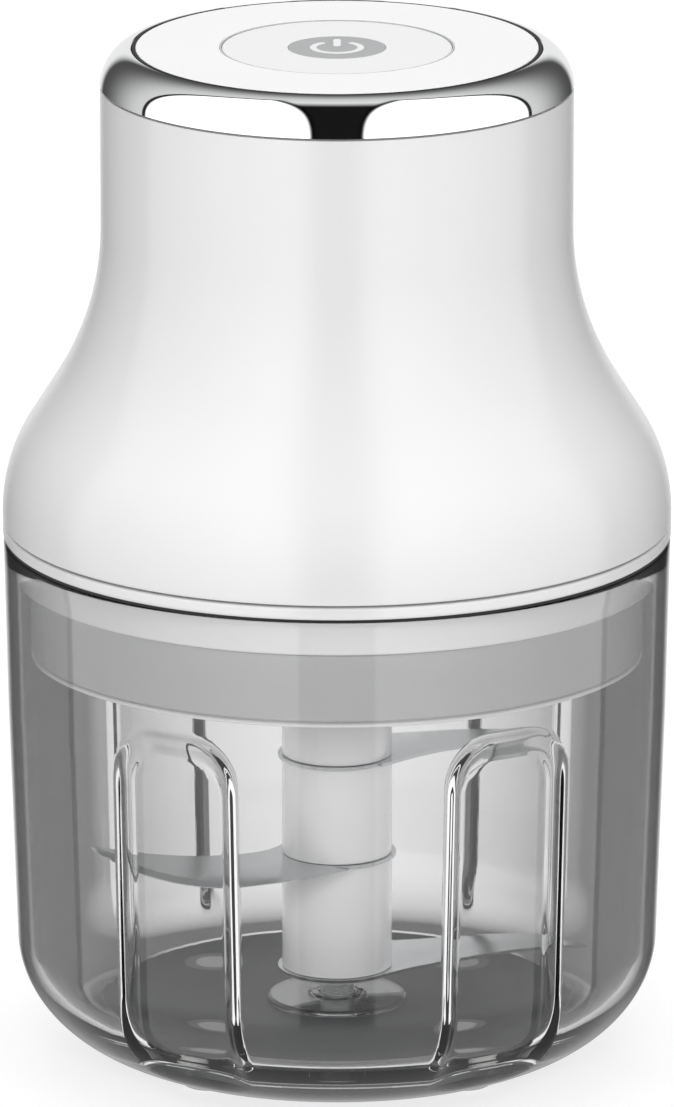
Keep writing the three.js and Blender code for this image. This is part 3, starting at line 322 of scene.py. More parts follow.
def turned(name, profile, material, facets=96, at=(0, 0), joined=False, crease=35):
    """A solid of revolution. The profile is (radius, height) in millimetres, up the outside."""
    turns = np.linspace(0, 2 * math.pi, facets, endpoint=False)
    rings = []
    for r, z in profile:
        count = turns if r > 1e-6 else turns[:1]
        rings.append(np.column_stack([at[0] + r * np.cos(count), at[1] + r * np.sin(count),
                                      np.full(len(count), z)]))
    return skin(name, rings, material, joined, crease)


def soft_plastic(name, colour, rough, spread=0.02):
    material, tree, shader, node = nodes_of(name)
    shader.inputs["Base Color"].default_value = (*colour, 1)
    shader.inputs["Specular IOR Level"].default_value = 0.35
    noise, patches = grain(tree, shader, node, size=0.25, depth=0.004, rough=rough, spread=spread)
    dark = [0.97 * c for c in colour]
    tone = node("ShaderNodeMix", {"Factor": patches.outputs["Fac"], "A": (*colour, 1), "B": (*dark, 1)},
                data_type="RGBA")
    tree.links.new(tone.outputs["Result"], shader.inputs["Base Color"])
    return material


soft_white = soft_plastic("soft_white", (0.72, 0.72, 0.71), 0.6)
for i, (side, end) in enumerate(((-1, -1), (1, -1), (1, 1), (-1, 1)), 1):
    foot = turned(f"rubber_foot_{i}", FOOT_RINGS, soft_white, 48, (side * FOOT_OFFSET, end * FOOT_OFFSET))
    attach(foot, "bowl")
    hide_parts(f"foot_{i}")


# ---- Bowl floor ----
# A smoke-grey disc lies in a recess of the bowl's floor. A clear flange holds its middle down
# round the pin, which is ground steel pressed into the bowl and carries the blade set.

DISC_RADIUS = 29.3
DISC_TOP = 6.4
DISC_BOTTOM = 5.6
PIN_RADIUS = 2.08
PIN_FOOT = 2.6
PIN_TOP = 26.3


def rounded(corners, radii, steps=6, joined=False):
    """A profile with its corners rounded off. Points beside each arc keep the flats looking flat."""
    corners = [np.array(c, float) for c in corners]
    profile = []
    for i, corner in enumerate(corners):
        radius = radii[i] if hasattr(radii, "__len__") else radii
        end = not joined and i in (0, len(corners) - 1)
        if end or radius == 0:
            profile.append(corner)
            continue
        before = corners[i - 1] - corner
        after = corners[(i + 1) % len(corners)] - corner
        length_before, length_after = np.linalg.norm(before), np.linalg.norm(after)
        before, after = before / length_before, after / length_after
        half = math.acos(np.clip(before @ after, -1, 1)) / 2
        reach = min(radius / math.tan(half), 0.42 * length_before, 0.42 * length_after)
        centre = corner + (before + after) / np.linalg.norm(before + after) * reach / math.cos(half)
        start, stop = corner + before * reach, corner + after * reach
        profile.append(start + before * min(0.15, 0.1 * length_before))
        for share in np.linspace(0, 1, steps + 1):
            arm = start + (stop - start) * share - centre
            profile.append(centre + arm / np.linalg.norm(arm) * np.linalg.norm(start - centre))
        profile.append(stop + after * min(0.15, 0.1 * length_after))
    return profile


# Reach and added brightness of the painted light spots that stand for the feet's stems seen
# through the disc, the width of a spot's soft edge, and the share of light that goes straight through it.
PAINTED_FOOT_SPOTS = ((2.6, 0.4), (3.9, 0.14))
SPOT_EDGE = 0.5
DISC_CLEARNESS = 0.15


def smoke_plastic():
    """Smoke-grey plastic with painted light spots that stand for the feet's stems seen through it."""
    material, tree, shader, node = nodes_of("smoke_plastic")
    shader.inputs["Specular IOR Level"].default_value = 0.3
    noise, patches = grain(tree, shader, node, size=0.5, depth=0.001, rough=0.45, spread=0.01)
    dark, pale = (0.05, 0.052, 0.056, 1), (0.054, 0.056, 0.06, 1)
    tone = node("ShaderNodeMix", {"Factor": patches.outputs["Fac"], "A": dark, "B": pale}, data_type="RGBA")
    place = node("ShaderNodeTexCoord").outputs["Object"]
    place = node("ShaderNodeVectorMath", {0: place, 1: (1, 1, 0)}, operation="MULTIPLY").outputs["Vector"]
    place = node("ShaderNodeVectorMath", {0: place}, operation="ABSOLUTE").outputs["Vector"]
    stem = (FOOT_OFFSET * MM, FOOT_OFFSET * MM, 0)
    away = node("ShaderNodeVectorMath", {0: place, 1: stem}, operation="DISTANCE").outputs["Value"]
    glow = None
    for reach, level in PAINTED_FOOT_SPOTS:
        painted_spot = node("ShaderNodeMapRange", {"Value": away, "From Min": (reach - SPOT_EDGE) * MM,
                                           "From Max": reach * MM, "To Min": level, "To Max": 0.0},
                    interpolation_type="SMOOTHSTEP")
        glow = painted_spot.outputs["Result"] if glow is None else node(
            "ShaderNodeMath", {0: glow, 1: painted_spot.outputs["Result"]}, operation="ADD").outputs[0]
    tone = node("ShaderNodeVectorMath", {0: tone.outputs["Result"], 1: glow}, operation="ADD")
    tree.links.new(tone.outputs["Vector"], shader.inputs["Base Color"])
    see = node("ShaderNodeBsdfTransparent", {"Color": (0.5, 0.51, 0.52, 1)})
    mix = node("ShaderNodeMixShader", {0: DISC_CLEARNESS, 1: shader.outputs["BSDF"], 2: see.outputs["BSDF"]})
    output = next(n for n in tree.nodes if n.type == "OUTPUT_MATERIAL")
    tree.links.new(mix.outputs["Shader"], output.inputs["Surface"])
    return material


def metal(name, colour, rough, brush=(1, 1, 1), depth=0.002, size=0.3, shade=0.8, spread=0.25):
    """Bare metal with the fine marks of grinding, drawing or polishing along one direction."""
    material, tree, shader, node = nodes_of(name)
    shader.inputs["Metallic"].default_value = 1
    noise, patches = grain(tree, shader, node, size=size, depth=depth, rough=rough,
                           spread=rough * spread, stretch=brush)
    dark = [shade * c for c in colour]
    tone = node("ShaderNodeMix", {"Factor": patches.outputs["Fac"], "A": (*colour, 1), "B": (*dark, 1)},
                data_type="RGBA")
    tree.links.new(tone.outputs["Result"], shader.inputs["Base Color"])
    return material


disc_outline = [(2.38, DISC_BOTTOM), (DISC_RADIUS, DISC_BOTTOM), (DISC_RADIUS, DISC_TOP), (2.38, DISC_TOP)]
floor_disc = turned("smoke_disc", rounded(disc_outline, 0.25, joined=True), smoke_plastic(), 160, joined=True)
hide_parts("floor_disc")

clear_parts_plastic = clear_plastic("clear_parts_plastic")
flange_outline = [(2.4, 6.46), (8.6, 6.46), (8.6, 6.95), (8.25, 7.2), (3.6, 7.2), (3.3, 7.6), (2.4, 7.6)]
flange = turned("clear_flange", rounded(flange_outline, 0.15, joined=True), clear_parts_plastic, 128,
                joined=True)
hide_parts("pin_flange")

ground_steel = metal("ground_steel", (0.78, 0.79, 0.8), 0.3, brush=(1, 1, 12))
pin_outline = [(0, PIN_FOOT), (PIN_RADIUS, PIN_FOOT), (PIN_RADIUS, PIN_TOP), (0, PIN_TOP)]
pin = turned("ground_pin", rounded(pin_outline, 0.4), ground_steel, 64)
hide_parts("pivot_pin")
for piece in (floor_disc, flange, pin):
    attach(piece, "bowl")


# ---- Hub ----
# White sleeves are threaded on a core and clamp the blades between them. The top sleeve ends
# in a six-sided socket that takes the motor's coupler.

HUB_RADIUS = 6.8
HUB_BOTTOM = 10.2
HUB_TOP = 56.5
HUB_BORE = 4.5
SOCKET_RADIUS = 4.4
SOCKET_FLOOR = 50.2
BLADE_HALF = 0.2
# Height, rise to the tip, twist and turn of each blade, then its leading and its trailing edge:
# each is one curve from root to tip, with two handles that bend it.
BLADES = {
    "blade_lower": (10.75, 1.7, 0, 0,
                    ((-1.5, 8.5), (9, 13), (26, 12.5), (31.5, 2)),
                    ((6, -4.5), (10, 0), (18, 2.5), (31.5, 2))),
    "blade_middle": (25.4, 0, 0.05, 180,
                     ((-1.5, 7.5), (8, 16), (20, 19.5), (30.5, -0.5)),
                     ((6, -5), (8, 4), (18, 6), (30.5, -0.5))),
    "blade_upper": (38, 0, 0, 0,
                    ((-1.5, 8.5), (11, 8.5), (23, 17), (26, 5)),
                    ((5.5, -5.5), (10, -1), (14, 4.5), (26, 5))),
}


def cut(piece, cutters, operation="DIFFERENCE", crease=35):
    """Cuts, or joins, closed solids out of or onto a piece, and removes them."""
    for cutter in cutters:
        step = piece.modifiers.new("cut", "BOOLEAN")
        step.operation = operation
        step.object = cutter
        step.solver = "EXACT"
    graph = bpy.context.evaluated_depsgraph_get()
    mesh = bpy.data.meshes.new_from_object(piece.evaluated_get(graph))
    piece.modifiers.clear()
    piece.data = mesh
    mesh.polygons.foreach_set("use_smooth", [True] * len(mesh.polygons))
    mesh.set_sharp_from_angle(angle=math.radians(crease))
    for cutter in cutters:
        bpy.data.objects.remove(cutter)
    return piece


def rod(radius, low, high, at=(0, 0), facets=32):
    return turned("cutter", [(0, low), (radius, low), (radius, high), (0, high)], soft_white, facets, at)


hub_white = soft_plastic("hub_white", (0.9, 0.9, 0.9), 0.2, 0.01)
hub_shader = hub_white.node_tree.nodes["Principled BSDF"]
hub_shader.inputs["Coat Weight"].default_value = 1
hub_shader.inputs["Coat Roughness"].default_value = 0.15
hub_white.node_tree.nodes["Principled BSDF"].inputs["Specular IOR Level"].default_value = 0.9
edges = [HUB_BOTTOM]
for height, *_ in BLADES.values():
    edges += [height - BLADE_HALF - 0.02, height + BLADE_HALF + 0.02]
edges.append(HUB_TOP)
for i in range(4):
    low, high = edges[2 * i], edges[2 * i + 1]
    if i < 3:
        outline = [(HUB_BORE, low), (HUB_RADIUS, low), (HUB_RADIUS, high), (HUB_BORE, high)]
        corner_radii = 0.12
    else:
        outline = [(HUB_BORE, low), (HUB_RADIUS, low), (HUB_RADIUS, high), (0, high), (0, SOCKET_FLOOR),
                   (HUB_BORE, SOCKET_FLOOR)]
        corner_radii = (0.12, 0.12, 0.5, 0, 0, 0.3)
    sleeve = turned(f"sleeve_{i + 1}", rounded(outline, corner_radii, joined=True), hub_white, 128,
                    joined=True)
    if i == 3:
        cut(sleeve, [rod(SOCKET_RADIUS, SOCKET_FLOOR - 0.4, HUB_TOP + 1, facets=6)])
    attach(sleeve, "blade_set")
    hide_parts(f"hub_sleeve_{i + 1}")


# ---- Blades ----
# Three crescent blades stamped from thin stainless steel, their leading edges ground to a
# bevel. Each one's ring is clamped between two sleeves of the hub, and the middle one is twisted a little.

GRIND_WIDTH = 1.6
EDGE_THICKNESS = 0.1
BLADE_RING = 7.3


def edge_curve(edge, steps):
    """A cubic curve from the root to the tip of an edge, bent by its two handles."""
    root, first, second, tip = np.array(edge, float)
    t = np.linspace(0, 1, steps + 1)[:, None]
    return (1 - t) ** 3 * root + 3 * (1 - t) ** 2 * t * first + 3 * (1 - t) * t ** 2 * second + t ** 3 * tip


def wing(leading, trailing, steps=72):
    """The crescent as rings across it: along the top to the ground edge, and back underneath."""
    leading, trailing = edge_curve(leading, steps), edge_curve(trailing, steps)
    rings = []
    for i, (front, back) in enumerate(zip(leading, trailing)):
        chord = np.linalg.norm(front - back)
        width = min(GRIND_WIDTH, 0.5 * chord)
        shoulder = 1 - width / max(chord, 1e-6)
        edge = BLADE_HALF - (2 * BLADE_HALF - EDGE_THICKNESS)
        across = [(0, BLADE_HALF), (shoulder / 2, BLADE_HALF), (shoulder, BLADE_HALF), (1, edge),
                  (1, -BLADE_HALF), (0.5, -BLADE_HALF), (0, -BLADE_HALF)]
        if i == steps:
            rings.append(np.array([[*front, -BLADE_HALF / 2]]))
        else:
            rings.append(np.array([[*(back + (front - back) * w), z] for w, z in across]))
    middle = rings[0].mean(axis=0)[None]
    return [middle] + rings


blade_steel = metal("blade_steel", (0.56, 0.57, 0.58), 0.2, brush=(1, 10, 1), depth=0.0002, shade=0.94,
                    spread=0.1)
# The ground bevel has its own grinding marks, and its steel is painted lighter than the blade's: a painted
# highlight along the edge.
ground_bevel_highlight = metal("ground_bevel_highlight", (0.85, 0.85, 0.85), 0.22, brush=(8, 1, 1), depth=0.0005, shade=0.95,
                    spread=0.1)
for name, (height, rise, twist, turn, leading, trailing) in BLADES.items():
    blade = skin(f"{name}_steel", wing(leading, trailing), blade_steel, crease=11)
    blade.data.materials.append(ground_bevel_highlight)
    # The bevel's tilted faces take the lighter steel, painted as a highlight.
    for face in blade.data.polygons:
        face.material_index = int(0.15 < face.normal.z < 0.95 and face.center.length < 0.03)
    half = BLADE_HALF - 0.01
    ring = turned("ring", [(0, -half), (BLADE_RING, -half), (BLADE_RING, half), (0, half)], blade_steel, 96)
    cut(blade, [ring], "UNION", 11)
    cut(blade, [rod(HUB_BORE, -2, 2, facets=64)], crease=11)
    for vertex in blade.data.vertices:
        x, y, z = (c / MM for c in vertex.co)
        z += height - twist * float(smoothstep(x, BLADE_RING, 2 * BLADE_RING)) * (y - 7)
        z += rise * float(smoothstep(x, BLADE_RING, 30))
        a = math.radians(turn)
        turned_x, turned_y = x * math.cos(a) - y * math.sin(a), x * math.sin(a) + y * math.cos(a)
        vertex.co = (turned_x * MM, turned_y * MM, z * MM)
    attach(blade, "blade_set")
    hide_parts(name)


# ---- Splash lid ----
# A grey tray moulded in one piece, with a collar round the hub. A thin white bead round its foot is a
# painted highlight along that edge, and a soft ring in a groove under its rim seals it in the bowl.

LID_RADIUS = 37.6
LID_BOTTOM = 52.4
LID_SHOULDER = 61.2
LID_TOP = 65.9
LID_INSIDE = 35
LID_FLOOR = 54
COLLAR = (7.4, 9.4)
COLLAR_TOP = 56.6
SEAL = (36.7, 38.8)
SEAL_HEIGHTS = (61.35, 65.7)
POST = (16.2, -20)
POST_RADIUS = 2.2
POST_TOP = 55.7

lid_grey = soft_plastic("lid_grey", (0.5, 0.5, 0.505), 0.25)
lid_outline = [(COLLAR[0], LID_BOTTOM), (37.2, LID_BOTTOM), (37.2, 52.6), (LID_RADIUS, 52.9),
               (LID_RADIUS, LID_SHOULDER), (SEAL[0] - 0.1, LID_SHOULDER), (SEAL[0] - 0.1, LID_TOP),
               (LID_INSIDE, LID_TOP), (LID_INSIDE, LID_FLOOR), (COLLAR[1], LID_FLOOR),
               (COLLAR[1], COLLAR_TOP), (COLLAR[0], COLLAR_TOP)]
lid_radii = (0.3, 0.1, 0.1, 0.2, 0.25, 0.1, 0.2, 0.2, 0.8, 0.6, 0.3, 0.3)
lid = turned("grey_lid", rounded(lid_outline, lid_radii, joined=True), lid_grey, 192, joined=True)
post_foot = LID_BOTTOM + 0.8
post_outline = [(0, post_foot), (POST_RADIUS, post_foot), (POST_RADIUS, POST_TOP), (0, POST_TOP)]
post = turned("post", rounded(post_outline, 0.3), lid_grey, 32, POST)
cut(lid, [post], "UNION")
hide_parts("splash_lid")

# A white bead round the lid's foot: a painted highlight along that edge.
lid_edge_highlight = soft_plastic("lid_edge_highlight", (0.82, 0.82, 0.82), 0.4)
bead = [(37.32 + 0.28 * math.cos(a), 52.25 + 0.25 * math.sin(a)) for a in np.radians(range(-90, 270, 30))]
lid_edge = turned("lid_edge", bead, lid_edge_highlight, 192, joined=True)

seal_white = soft_plastic("seal_white", (0.88, 0.88, 0.88), 0.32)
seal_outline = [(SEAL[0], SEAL_HEIGHTS[0]), (SEAL[1], SEAL_HEIGHTS[0]), (SEAL[1], SEAL_HEIGHTS[1]),
                (SEAL[0], SEAL_HEIGHTS[1])]
lid_ring = turned("seal_ring", rounded(seal_outline, 0.45, joined=True), seal_white, 192, joined=True)
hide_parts("lid_seal")
for piece in (lid, lid_edge, lid_ring):
    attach(piece, "lid")


# ---- Motor head: shell ----
# The bell-shaped shell is gloss white plastic, polished in the mould. At the back of its neck
# a recess holds the charging socket behind a soft cover on a hinge.

HEAD_RADIUS = 41
NECK_RADIUS = 28.85
BELLY_ARC = 20.5
NECK_ARC = 36.6
FLANK = math.radians(32.4)
SHELL_BOTTOM = 67.95
BELLY_Z = 69.3
SHELL_TOP = 122.45
SHELL_WALL = 1.9
PORT_Z = 110
RECESS = (6.8, 4.7, 27.4)  # half width, half height, and the depth its floor lies at
SOCKET_HOLE = (5, 2.2)
SCREW_RING = 36.6


def bell(inset):
    """The bell's line from its foot to its top: belly arc, straight flank, neck arc, neck."""
    belly, neck = BELLY_ARC - inset, NECK_ARC + inset
    foot, top = HEAD_RADIUS - inset, NECK_RADIUS - inset
    fall = foot - top - (belly + neck) * (1 - math.cos(FLANK))
    rise = fall / math.tan(FLANK)
    neck_z = BELLY_Z + (belly + neck) * math.sin(FLANK) + rise
    angle = math.degrees(FLANK)
    belly_line = quarter((foot - belly, BELLY_Z), (belly, belly), 0, angle, 24)
    neck_line = quarter((top + neck, neck_z), (neck, neck), 180 + angle, 180, 36)
    flank_line = line(belly_line[-1], neck_line[0], 6)[1:-1]
    neck_top = line(neck_line[-1], (top, SHELL_TOP), 24)[1:]
    return np.concatenate([belly_line, flank_line, neck_line, neck_top])


def gloss_white(name, colour, rough):
    """Gloss white moulding: a faint waviness like orange peel, and fine unevenness in its gloss."""
    material, tree, shader, node = nodes_of(name)
    shader.inputs["Specular IOR Level"].default_value = 1
    noise, patches = grain(tree, shader, node, size=1.4, depth=0.0015, rough=rough, spread=0.02)
    dark = [0.985 * c for c in colour]
    tone = node("ShaderNodeMix", {"Factor": patches.outputs["Fac"], "A": (*colour, 1), "B": (*dark, 1)},
                data_type="RGBA")
    tree.links.new(tone.outputs["Result"], shader.inputs["Base Color"])
    return material


def rounded_block(half_x, half_z, y_low, y_high, z, corner):
    """A cutter through the neck's back: a rounded rectangle in X and Z, from one depth to another."""
    outline = []
    for sx, sz, start in ((1, 1, 0), (-1, 1, 90), (-1, -1, 180), (1, -1, 270)):
        for a in np.radians(np.linspace(start, start + 90, 7)):
            outline.append((sx * (half_x - corner) + corner * math.cos(a),
                            z + sz * (half_z - corner) + corner * math.sin(a)))
    outline = np.array(outline)[::-1]
    rings = [np.array([[0, y_low, z]])]
    for y in (y_low, y_high):
        rings.append(np.column_stack([outline[:, 0], np.full(len(outline), y), outline[:, 1]]))
    rings.append(np.array([[0, y_high, z]]))
    return skin("cutter", rings, soft_white)


shell_white = gloss_white("shell_white", (0.8, 0.8, 0.8), 0.24)
foot_radius = 0.35
shell_outer = bell(0)
shell_inner = bell(SHELL_WALL)
shell_foot = [(HEAD_RADIUS - SHELL_WALL, SHELL_BOTTOM + 0.4), (HEAD_RADIUS - SHELL_WALL + 0.1, SHELL_BOTTOM),
              (HEAD_RADIUS - foot_radius - 0.2, SHELL_BOTTOM)]
shell_foot += [(HEAD_RADIUS - foot_radius + foot_radius * math.sin(a),
                SHELL_BOTTOM + foot_radius * (1 - math.cos(a)))
               for a in np.radians([0, 15, 30, 45, 60, 75, 90])]
shell_profile = np.concatenate([shell_foot, shell_outer, shell_inner[::-1]])
shell = turned("bell_shell", shell_profile, shell_white, 256, joined=True)
cut(shell, [rounded_block(RECESS[0], RECESS[1], RECESS[2], 31, PORT_Z, 1.2),
            rounded_block(*SOCKET_HOLE, 24, 28, PORT_Z, 1)], crease=30)
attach(shell, "head")
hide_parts("outer_shell")

neck_outline = [(0, 100), (NECK_RADIUS, 100), (NECK_RADIUS, 120), (0, 120)]
cover_body = turned("port_flap", neck_outline, soft_white, 512)
cut(cover_body, [rounded_block(6.5, 4.4, 27.7, 30, PORT_Z, 1)], "INTERSECT")
cut(cover_body, [rounded_block(4, 1, 26.4, 27.9, PORT_Z, 0.9)], "UNION")
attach(cover_body, "port_cover")
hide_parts("port_cover")


# ---- Motor head: base cover ----
# The white cover closes the head from below. Its lip shows under the shell, its well drops into
# the splash lid, and four screws hold it. A black ring in the gap under the lip, on the bowl, paints the gap's
# shade.

LIP = (66.15, 67.7)
WELL_RADIUS = 34.6
WELL_BOTTOM = 57.2
WELL_FLOOR = 59
WELL_INSIDE = 33
FLANGE_TOP = 69

screw_places = [(side * SCREW_RING * math.sqrt(0.5), end * SCREW_RING * math.sqrt(0.5))
                for side, end in ((-1, -1), (1, -1), (1, 1), (-1, 1))]
base_outline = [(5.2, WELL_BOTTOM), (WELL_RADIUS, WELL_BOTTOM), (WELL_RADIUS, LIP[0]), (HEAD_RADIUS, LIP[0]),
                (HEAD_RADIUS, LIP[1]), (38.8, LIP[1]), (38.8, FLANGE_TOP), (WELL_INSIDE, FLANGE_TOP),
                (WELL_INSIDE, WELL_FLOOR), (5.2, WELL_FLOOR)]
base_radii = (0.3, 0.8, 0.3, 0.45, 0.3, 0.1, 0.2, 0.2, 0.5, 0.3)
base = turned("white_base", rounded(base_outline, base_radii, joined=True), shell_white, 192, joined=True)
cut(base, [rod(1.9, 65, 67.6, place, 24) for place in screw_places]
    + [rod(1.3, 67, 70, place, 24) for place in screw_places] + [rod(1.95, 56, 60, POST, 24)], crease=30)
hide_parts("base_cover")

black_rubber = soft_plastic("black_rubber", (0.012, 0.012, 0.013), 0.55)
# Painted shade: a black ring in the gap under the lip, resting on the bowl's rim, stands for the gap's shade.
lip_gap_shade_outline = [(39.4, 65.82), (40.78, 65.82), (40.78, 66.2), (39.4, 66.2)]
lip_gap_shade = turned("lip_gap_shade_ring", rounded(lip_gap_shade_outline, 0.08, joined=True), black_rubber, 192, joined=True)

for i, place in enumerate(screw_places, 1):
    head_line = rounded([(0, 66.35), (1.6, 66.35), (1.6, 67.35), (1, 67.35), (1, 76.5), (0, 76.5)],
                        (0, 0.3, 0.1, 0.05, 0.3, 0))
    screw = turned(f"screw_{i}", head_line, ground_steel, 32, place)
    cut(screw, [rod(0.75, 65, 66.9, place, 6)])
    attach(screw, "head")
    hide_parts(f"case_screw_{i}")
for piece in (base, lip_gap_shade):
    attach(piece, "head")


# ---- Motor head: chrome ring, top cover and button ----
# A plated ring finishes the top of the shell. The white top cover lies inside it, and the
# button in its middle carries a grey disc with a white standby sign that lights up.

NOSE_CENTRE = (24.6, 122)
NOSE_SIZE = (4.35, 5.3)
RING_INSIDE = 25.0
RING_SPIGOT = 26.6
RING_LOW = 122.75
COVER_RADIUS = 24.55
TOP = 127.3
BUTTON_RADIUS = 14.05
BUTTON_HOLE = 14.3
BUTTON_TOP = 127.2
ICON_RADIUS = 5.95
SIGN_RADII = (2.5, 3.3)
SIGN_OPEN = 39  # degrees each side of the gap
SIGN_BAR = (0.45, 0.6, 4.4)

chrome = metal("chrome_plate", (0.9, 0.905, 0.91), 0.035, depth=0.0004, size=2, shade=0.98)
nose_start = math.degrees(math.asin((RING_LOW - NOSE_CENTRE[1]) / NOSE_SIZE[1]))
nose_end = math.degrees(math.acos((RING_INSIDE + 0.15 - NOSE_CENTRE[0]) / NOSE_SIZE[0]))
nose = quarter(NOSE_CENTRE, NOSE_SIZE, nose_start, nose_end, 40)
ring_profile = [(RING_INSIDE, 119), (RING_INSIDE + 0.1, 118.8), (RING_SPIGOT - 0.2, 118.8), (RING_SPIGOT, 119),
                (RING_SPIGOT, RING_LOW - 0.1), (RING_SPIGOT + 0.1, RING_LOW), (nose[0][0] - 0.25, RING_LOW),
                (nose[0][0] - 0.06, RING_LOW + 0.04)] + list(nose)
ring_profile += [(RING_INSIDE, nose[-1][1] - 0.12), (RING_INSIDE, nose[-1][1] - 0.6)]
chrome_ring = turned("plated_ring", ring_profile, chrome, 256, joined=True)
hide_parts("chrome_ring")

cover_white = gloss_white("cover_white", (0.93, 0.93, 0.93), 0.3)
cover_outline = [(22.6, 116.6), (24.3, 116.6), (24.3, 124.8), (COVER_RADIUS, 125.2), (COVER_RADIUS, TOP),
                 (BUTTON_HOLE, TOP), (BUTTON_HOLE, 125.4), (22.6, 125.4)]
cover = turned("top_plate", rounded(cover_outline, (0.1, 0.1, 0.1, 0.1, 0.18, 0.15, 0.1, 0.1), joined=True),
               cover_white, 256, joined=True)
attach(cover, "head")
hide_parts("top_cover")
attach(chrome_ring, "head")

# Painted shade: a black ring fills the gap round the top cover and a grey ring the gap round the button,
# standing for the shade in these gaps.
GAP_SHADE_TOP = TOP - 0.02
cover_gap_shade_line = [(COVER_RADIUS + 0.02, 125.6), (RING_INSIDE - 0.02, 125.6), (RING_INSIDE - 0.02, GAP_SHADE_TOP),
             (COVER_RADIUS + 0.02, GAP_SHADE_TOP)]
cover_gap_shade = turned("cover_gap_shade_ring", rounded(cover_gap_shade_line, 0.05, joined=True), black_rubber, 192, joined=True)
button_gap_shade_line = [(BUTTON_HOLE - 0.2, 125.7), (BUTTON_HOLE - 0.01, 125.7), (BUTTON_HOLE - 0.01, GAP_SHADE_TOP),
                    (BUTTON_HOLE - 0.2, GAP_SHADE_TOP)]
button_gap_shade = turned("button_gap_shade", rounded(button_gap_shade_line, 0.04, joined=True), lid_grey, 160, joined=True)
for piece, finish in ((cover_gap_shade, "black_rubber"), (button_gap_shade, "grey_plastic")):
    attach(piece, "head")

button_white = gloss_white("button_white", (0.88, 0.88, 0.89), 0.35)
button_outline = [(0, 121.2), (2, 121.2), (2, 124.9), (12.9, 124.9), (12.9, 123.6), (15, 123.6), (15, 124.4),
                  (BUTTON_RADIUS, 124.4), (BUTTON_RADIUS, BUTTON_TOP), (ICON_RADIUS + 0.05, BUTTON_TOP),
                  (ICON_RADIUS + 0.05, 126), (0, 126)]
button_corners = (0, 0.2, 0.1, 0.1, 0.2, 0.1, 0.1, 0.1, 0.18, 0.04, 0.04, 0)
button = turned("button_cap", rounded(button_outline, button_corners), button_white, 160)
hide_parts("push_button")

icon_grey = soft_plastic("icon_grey", (0.4, 0.405, 0.41), 0.4)
icon = turned("icon_plate", rounded([(0, 126.5), (ICON_RADIUS, 126.5), (ICON_RADIUS, BUTTON_TOP - 0.02),
                                     (0, BUTTON_TOP - 0.02)], 0.05), icon_grey, 128)
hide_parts("icon_disc")


def slab(name, outline, low, high, material):
    """A flat outline raised from one height to another."""
    mesh = bpy.data.meshes.new(name)
    count = len(outline)
    points = [(x * MM, y * MM, z * MM) for z in (low, high) for x, y in outline]
    faces = [tuple(range(count))[::-1], tuple(range(count, 2 * count))]
    faces += [(i, (i + 1) % count, count + (i + 1) % count, count + i) for i in range(count)]
    mesh.from_pydata(points, [], faces)
    mesh.materials.append(material)
    piece = bpy.data.objects.new(name, mesh)
    bpy.context.scene.collection.objects.link(piece)
    return piece


sign_white = soft_plastic("sign_white", (0.86, 0.86, 0.86), 0.4)
around = np.radians(np.linspace(90 + SIGN_OPEN, 450 - SIGN_OPEN, 49))
middle_radius = sum(SIGN_RADII) / 2
stroke = (SIGN_RADII[1] - SIGN_RADII[0]) / 2
arc = [(SIGN_RADII[1] * math.cos(a), SIGN_RADII[1] * math.sin(a)) for a in around]
for end, start in ((around[-1], 0), (around[0], 180)):
    centre = (middle_radius * math.cos(end), middle_radius * math.sin(end))
    cap = [(centre[0] + stroke * math.cos(end + math.radians(start + a)),
            centre[1] + stroke * math.sin(end + math.radians(start + a))) for a in range(15, 180, 15)]
    if start == 0:
        arc += cap + [(SIGN_RADII[0] * math.cos(a), SIGN_RADII[0] * math.sin(a)) for a in around[::-1]]
    else:
        arc += cap
sign = slab("standby_sign", arc, 126.6, BUTTON_TOP, sign_white)
bar = [(SIGN_BAR[0] * math.cos(a), y + SIGN_BAR[0] * math.sin(a))
       for y, start in ((SIGN_BAR[2] - SIGN_BAR[0], 0), (SIGN_BAR[1] + SIGN_BAR[0], 180))
       for a in np.radians(range(start, start + 181, 15))]
sign_bar = slab("standby_bar", bar, 126.6, BUTTON_TOP, sign_white)
cut(sign, [sign_bar], "UNION")
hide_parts("icon_light_guide")
for piece in (button, icon, sign):
    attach(piece, "button")


# ---- Motor head: drive and safety plunger ----
# The coupler is a six-sided dog of black nylon pressed on the motor's shaft, which stands in the
# hub's socket. Beside it a plunger, pushed up by the lid's post, lets the motor run.

COUPLER_DOG = (3.9, 51, 57.2)
COUPLER_ROUND = (4.6, 57, 61.5)

black_nylon = soft_plastic("black_nylon", (0.02, 0.02, 0.022), 0.45)
coupler = turned("coupler_dog", rounded([(0, COUPLER_DOG[1]), (COUPLER_DOG[0], COUPLER_DOG[1]),
                                         (COUPLER_DOG[0], COUPLER_DOG[2]), (0, COUPLER_DOG[2])], 0.4),
                 black_nylon, 6, crease=10)
coupler_round = turned("round", rounded([(0, COUPLER_ROUND[1]), (COUPLER_ROUND[0], COUPLER_ROUND[1]),
                                         (COUPLER_ROUND[0], COUPLER_ROUND[2]), (0, COUPLER_ROUND[2])], 0.3),
                       black_nylon, 48)
cut(coupler, [coupler_round], "UNION", 20)
cut(coupler, [rod(1.4, 55, 63, facets=24)], crease=20)
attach(coupler, "rotor")
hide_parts("drive_coupler")

seal_line = [(4.9, 59.2), (7.5, 59.2), (7.5, 60.9), (4.9, 60.9)]
shaft_seal = turned("shaft_lip_seal", rounded(seal_line, 0.35, joined=True), black_rubber, 64, joined=True)
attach(shaft_seal, "head")
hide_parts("shaft_seal")

